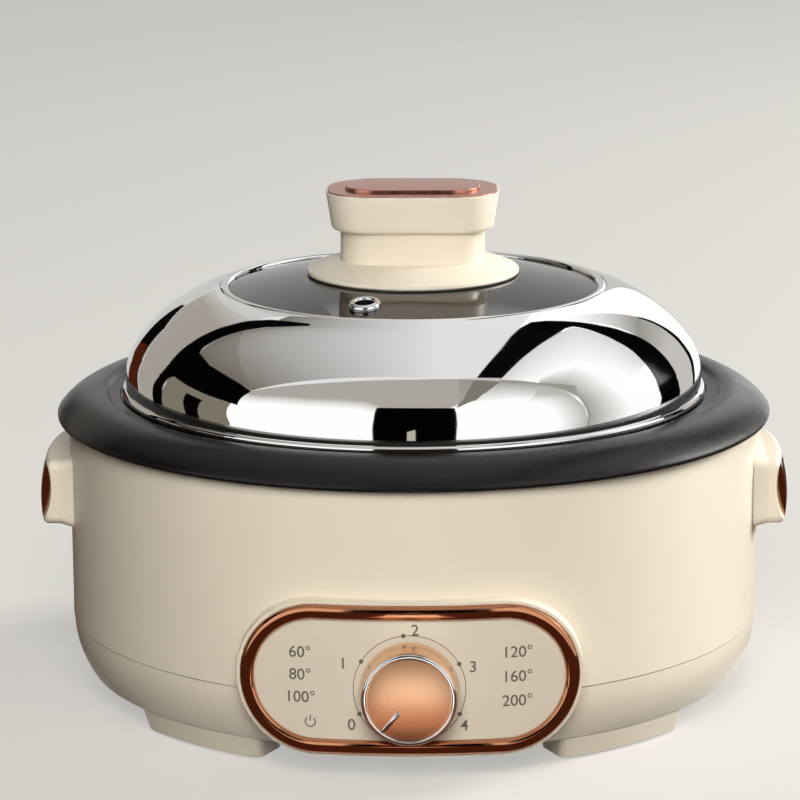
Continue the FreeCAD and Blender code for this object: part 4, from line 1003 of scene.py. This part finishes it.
def as_card(thing, colour, strength, fade=0.0):
    """Makes a stage piece a studio card that only mirrors see; fade softens its far edge."""
    material, add, _ = open_material(thing.name)
    across = add("ShaderNodeAttribute", attribute_name="across").outputs["Fac"]
    edge = add("ShaderNodeMapRange", {"Value": across, "From Min": 1.0 - fade, "From Max": 1.0001})
    glow = add("ShaderNodeEmission", {"Color": linear(colour), "Strength": strength})
    clear = add("ShaderNodeBsdfTransparent")
    mixed = add("ShaderNodeMixShader", {0: edge, 1: glow, 2: clear})
    add("ShaderNodeOutputMaterial", {"Surface": mixed})
    thing.data.materials.append(material)
    for kind in ("camera", "diffuse", "transmission", "shadow"):
        setattr(thing, "visible_" + kind, False)


def make_card(name, colour, strength, distance, fade, low, high):
    """Card on a big sphere, between two lines of (azimuth, elevation) points."""
    steps, rows = 6, 10
    low_way, high_way = ([round_target(a, e, 1.0, (0.0, 0.0, 0.0)) for a, e in line] for line in (low, high))
    points, across, faces = [], [], []
    columns = (len(low) - 1) * steps + 1
    for column in range(columns):
        i = min(column // steps, len(low) - 2)
        t = column / steps - i
        foot = low_way[i].lerp(low_way[i + 1], t)
        head = high_way[i].lerp(high_way[i + 1], t)
        for row in range(rows + 1):
            points.append(aim + distance * foot.lerp(head, row / rows).normalized())
            across.append(row / rows)
    for column in range(columns - 1):
        for row in range(rows):
            a = column * (rows + 1) + row
            faces.append((a, a + 1, a + rows + 2, a + rows + 1))
    mesh = bpy.data.meshes.new(name)
    mesh.from_pydata(points, [], faces)
    mesh.attributes.new("across", "FLOAT", "POINT").data.foreach_set("value", across)
    as_card(new_object(name, mesh), colour, strength, fade)


# The studio that the lid mirrors: white screens with black edges, grey walls and a dark table. Each card has
# its colour, strength, distance in metres, soft share of its width, and its low and high line of (azimuth,
# elevation) points.
cards = (
    ("wall_left", "#7F796C", 1.15, 3, 0,
     [(-116, -40), (-114.5, -4.5), (-114.5, 10.5), (-120, 23)],
     [(-70.5, -40), (-70, 2.5), (-72.5, 20.5), (-83, 43.5)]),
    ("wall_back_left", "#A7A299", 1.15, 3, 0,
     [(-137, -40), (-136, -5.5), (-141.5, 8.5), (-147.5, 11), (-152, 14), (-161, 12), (-165, 12.5),
      (-168.5, 11.5)],
     [(-122.5, -40), (-120, 0), (-121.5, 13), (-127, 23), (-131.5, 28), (-140, 34), (-146.5, 37.5),
      (-156, 38.5)]),
    ("ceiling_left", "#CFCDCB", 1.2, 2.98, 1,
     [(-170, 9), (-167.5, 22.5), (-165.5, 30.5), (-164, 36.5)],
     [(-165, 12.5), (-160, 22), (-151, 31.5), (-144, 37.5)]),
    ("ceiling_white", "#F9F9FA", 1, 3.15, 0,
     [(-163.5, 35.5), (-171, 37.5), (-178, 40.5), (175, 39), (170, 33.5)],
     [(-80.5, 42), (-60.5, 60.5), (-11, 73), (25, 72.5), (53.5, 68)]),
    ("ceiling_shade", "#7C766D", 1, 3.1, 1,
     [(-167, 35.5), (-153, 45), (-141, 41), (-133, 37.5), (-126.5, 34.5), (-114.5, 37.5), (-98, 41),
      (-81, 42)],
     [(178, 40.5), (175.5, 53.5), (173, 60.5), (168, 68.5), (155, 78), (100, 84), (41.5, 79.5), (27, 73.5)]),
    ("wall_right", "#D5D1CE", 1, 3, 0,
     [(140.5, 29), (139.5, 26.5), (136.5, 21), (133.5, 17), (128, 5), (129, -9), (129.5, -40)],
     [(155, 22.5), (152.5, 14.5), (151.5, 8), (149, 5), (144, -3), (143.5, -11), (140, -40)]),
    ("wall_shade_right", "#A8A5A0", 1, 2.99, 1,
     [(154.5, 22.5), (148.5, 25.5), (140, 28)],
     [(152, 9), (143.5, 15.5), (135.5, 19.5)]),
    ("wall_shade_left", "#A8A5A0", 1, 2.99, 1,
     [(154.5, 22.5), (148.5, 25.5), (140, 28)],
     [(161.5, 36), (159.5, 37.5), (157, 39.5)]),
    ("screen_left", "#FFFFFF", 1.27, 2.9, 0.25,
     [(-72.5, -40), (-64.5, -40), (-53.5, -40), (-43, -40), (-31, -40), (-19.5, -40), (-9.5, -40)],
     [(-77.5, 38.5), (-71.5, 41.5), (-62, 47.5), (-50.5, 50.5), (-36, 54.5), (-24, 54.5), (-15.5, 47)]),
    ("screen_top", "#BDB8B1", 1, 2.97, 0,
     [(-66, 17), (-45, 23), (-27.5, 30.5), (-15, 33.5), (1.5, 34), (19.5, 34.5)],
     [(-80.5, 42), (-68, 55), (-49, 65.5), (-31, 71), (2.5, 73.5), (49, 68)]),
    ("screen_right", "#FFFFFF", 1.27, 2.95, 0,
     [(12.5, -40), (24, -40), (34, -40), (44, -40), (54.5, -40), (65.5, -40), (77.5, -40), (93.5, -40),
      (114, -40)],
     [(17, 40.5), (31, 54), (43, 57), (60, 62), (107.5, 64), (139.5, 53.5), (151, 43.5), (138.5, 39.5),
      (125, 29)]),
    ("screen_high", "#DCDBDF", 1.2, 2.88, 1,
     [(60.5, 62.5), (105.5, 65), (136.5, 56), (150.5, 43.5), (140.5, 40.5), (130, 34), (123.5, 27.5)],
     [(65, 56), (78, 54.5), (92, 53.5), (105.5, 50), (108.5, 43), (109, 35.5), (107.5, 28.5)]),
    ("screen_joint", "#A8A5A1", 1.2, 2.85, 1,
     [(73.5, 53), (76, 50.5), (78.5, 46.5), (79.5, 43.5), (78, 39.5), (75, 32.5), (73.5, 25), (72, 17),
      (71, 7), (71.5, -1.5), (72.5, -40)],
     [(80, 55), (92.5, 54), (104, 49), (102.5, 44.5), (100.5, 40), (98.5, 35.5), (93.5, 26.5),
      (91.5, 15.5), (91.5, 5), (93.5, -4.5), (95.5, -40)]),
    ("screen_soft", "#A8A5A0", 1, 2.84, 1,
     [(38.5, 70), (52, 66.5), (64.5, 60), (74.5, 53), (85, 43.5)],
     [(22.5, 48), (34, 49), (49.5, 48.5), (61, 41.5), (71, 27.5)]),
    ("screen_fold", "#CCCAC6", 1, 2.83, 1,
     [(71.5, 52), (74, 49), (76, 45), (75.5, 41.5), (73.5, 35), (72, 28.5), (71, 21), (70.5, 12.5),
      (70, 2.5), (70.5, -5), (72, -40)],
     [(51.5, 39), (54.5, 35.5), (56.5, 31), (57, 26.5), (57, 20.5), (57, 14.5), (57, 8.5), (57.5, 3.5),
      (57.5, -1.5), (58.5, -7.5), (59, -40)]),
    ("screen_line", "#9A9792", 1.2, 2.82, 0,
     [(62, 63), (69.5, 58.5), (74.5, 53), (79, 46.5), (79.5, 44), (79, 40.5), (76, 33), (74, 26), (72, 17),
      (71.5, 7), (71.5, -2), (73, -40)],
     [(60, 62), (67.5, 57.5), (73.5, 52.5), (77.5, 46), (78.5, 43.5), (76.5, 38), (74.5, 31.5),
      (72.5, 24.5), (71, 16), (70.5, 6), (70.5, -2), (72, -40)]),
    ("flag_front", "#020202", 1, 2.8, 0,
     [(-15, -40), (-14.5, -1), (-14.5, 18), (-15.5, 41.5)],
     [(17, -40), (17, -2), (17.5, 16.5), (19, 40)]),
    ("flag_stripe", "#0B0A08", 1, 2.8, 0,
     [(53, 68.5), (88.5, 72.5), (128.5, 68), (150, 59), (160, 49)],
     [(65, 63.5), (81.5, 65.5), (105.5, 65), (129, 59.5), (144.5, 50.5)]),
    ("flag_top_right", "#060505", 1, 2.8, 0,
     [(160, 49), (163, 43.5), (161.5, 41.5), (156, 40), (148.5, 37), (143, 32), (139.5, 26.5), (136, 21),
      (134, 18), (131, 13.5), (127.5, 5), (127.5, -2.5), (129, -9), (130, -40)],
     [(144.5, 50.5), (150, 45.5), (151, 43), (147, 42), (141, 40.5), (134, 37), (128.5, 32.5), (124, 28.5),
      (121, 25), (117.5, 20.5), (113, 12), (111.5, 4), (112.5, -6.5), (114, -40)]),
    ("stripe_low", "#8A857A", 1, 2.79, 0,
     [(48.5, 67.5), (33.5, 60), (24, 50), (20, 41)],
     [(59, 61.5), (40.5, 56.5), (27.5, 48.5), (21, 41)]),
    ("edge_line", "#0A0807", 1, 2.75, 0,
     [(154.5, 21.5), (153.5, 14), (153.5, 7), (151.5, 2.5), (148, -4.5), (147.5, -40)],
     [(153.5, 22), (152, 15.5), (150.5, 9), (148, 5.5), (144, -2.5), (143.5, -40)]),
    ("flag_top_left", "#050404", 1, 2.75, 0,
     [(-164, 44.5), (-162.5, 41.5), (-160.5, 39), (-156, 38), (-149.5, 37), (-142.5, 34.5), (-136.5, 31),
      (-132, 27), (-127, 22), (-122.5, 12), (-121.5, -3), (-124.5, -40)],
     [(-162, 47), (-157.5, 46.5), (-153, 45), (-147.5, 43.5), (-140.5, 41), (-134, 38), (-129.5, 35.5),
      (-122.5, 33.5), (-117, 27), (-117.5, 19), (-113.5, -0.5), (-117, -40)]),
    ("flag_left", "#050404", 1, 2.75, 0,
     [(-126.5, 34.5), (-121.5, 36), (-114, 37.5), (-102, 40.5), (-89.5, 42), (-80, 41.5)],
     [(-120, 22.5), (-109.5, 22), (-98.5, 21), (-88.5, 20), (-79.5, 19), (-72.5, 17.5)]),
    ("flag_side", "#050404", 1, 2.75, 0,
     [(-100, -40), (-98.5, -6), (-100, 13.5)],
     [(-91, -40), (-90.5, -9), (-89.5, 11.5)]),
    ("slit_front", "#C4C0B0", 1, 2.7, 0,
     [(-2, -40), (-1.5, -4.5)],
     [(2, -40), (1.5, 0)]),
    ("shelf_back_left", "#4A2010", 1, 2.8, 0,
     [(-137, -40), (-137, -6), (-142, 7.5), (-147.5, 10)],
     [(-152.5, -40), (-155, -8.5), (-153.5, -2.5), (-158, 0.5)]),
    ("shelf_dark", "#0C0807", 1, 2.8, 0,
     [(-147.5, 10), (-152, 13.5), (-161.5, 11.5)],
     [(-158, 0.5), (-160, 3), (-162.5, 9)]),
    ("wall_back_right", "#FFFFFF", 1.25, 3.2, 0,
     [(133, -40), (150, -40), (170, -40), (188, -40)],
     [(133, 46), (150, 48), (170, 50), (188, 50)]),
    ("wall_behind", "#CCCAC8", 1.05, 2.6, 0.08,
     [(-191, -40), (-180, -40), (-170, -40)],
     [(-191, 34), (-180, 34), (-170, 34)]),
)


def make_cards():
    for card in cards:
        make_card(*card)
    table = [(165.0, 1.0), (640.0, 1.0), (640.0, 2.0), (165.0, 2.0)]
    as_card(turned("table_dark", table), "#58392C", 1.0)
    half = 34.0
    for name, far, near, colour, strength in (("table_glow", -410.0, -285.0, "#FFFFFF", 1.8),
                                              ("table_warm", -285.0, -235.0, "#C99A86", 1.4)):
        corners = [(-half, far), (half, far), (half, near), (-half, near)]
        slab = skin([[(x, y, z) for x, y in corners] for z in (3.0, 4.0)], False)
        as_card(finished(name, slab), colour, strength)


make_camera()
make_dome()
make_glass()
make_glass_ring()
make_vent()
make_flange()
make_grip()
make_knob_trim()
make_pot()
make_bezel()
make_marks()
make_dots()
make_dial()
make_pointer()
make_screws()
paint_rest()
make_floor()
make_lamp("front", azimuth=0.0, elevation=30.0, distance=2.4, size=1.2, power=51.0,
          colour="#FFFAF3", sheen=False)
make_lamp("window", azimuth=112.0, elevation=20.0, distance=3.3, size=1.2, power=154.0,
          colour="#FFFDF8", sheen=True)
make_world(level=0.06, seen=0.72)
make_cards()

scene.view_settings.view_transform = "Standard"
bpy.context.view_layer.update()
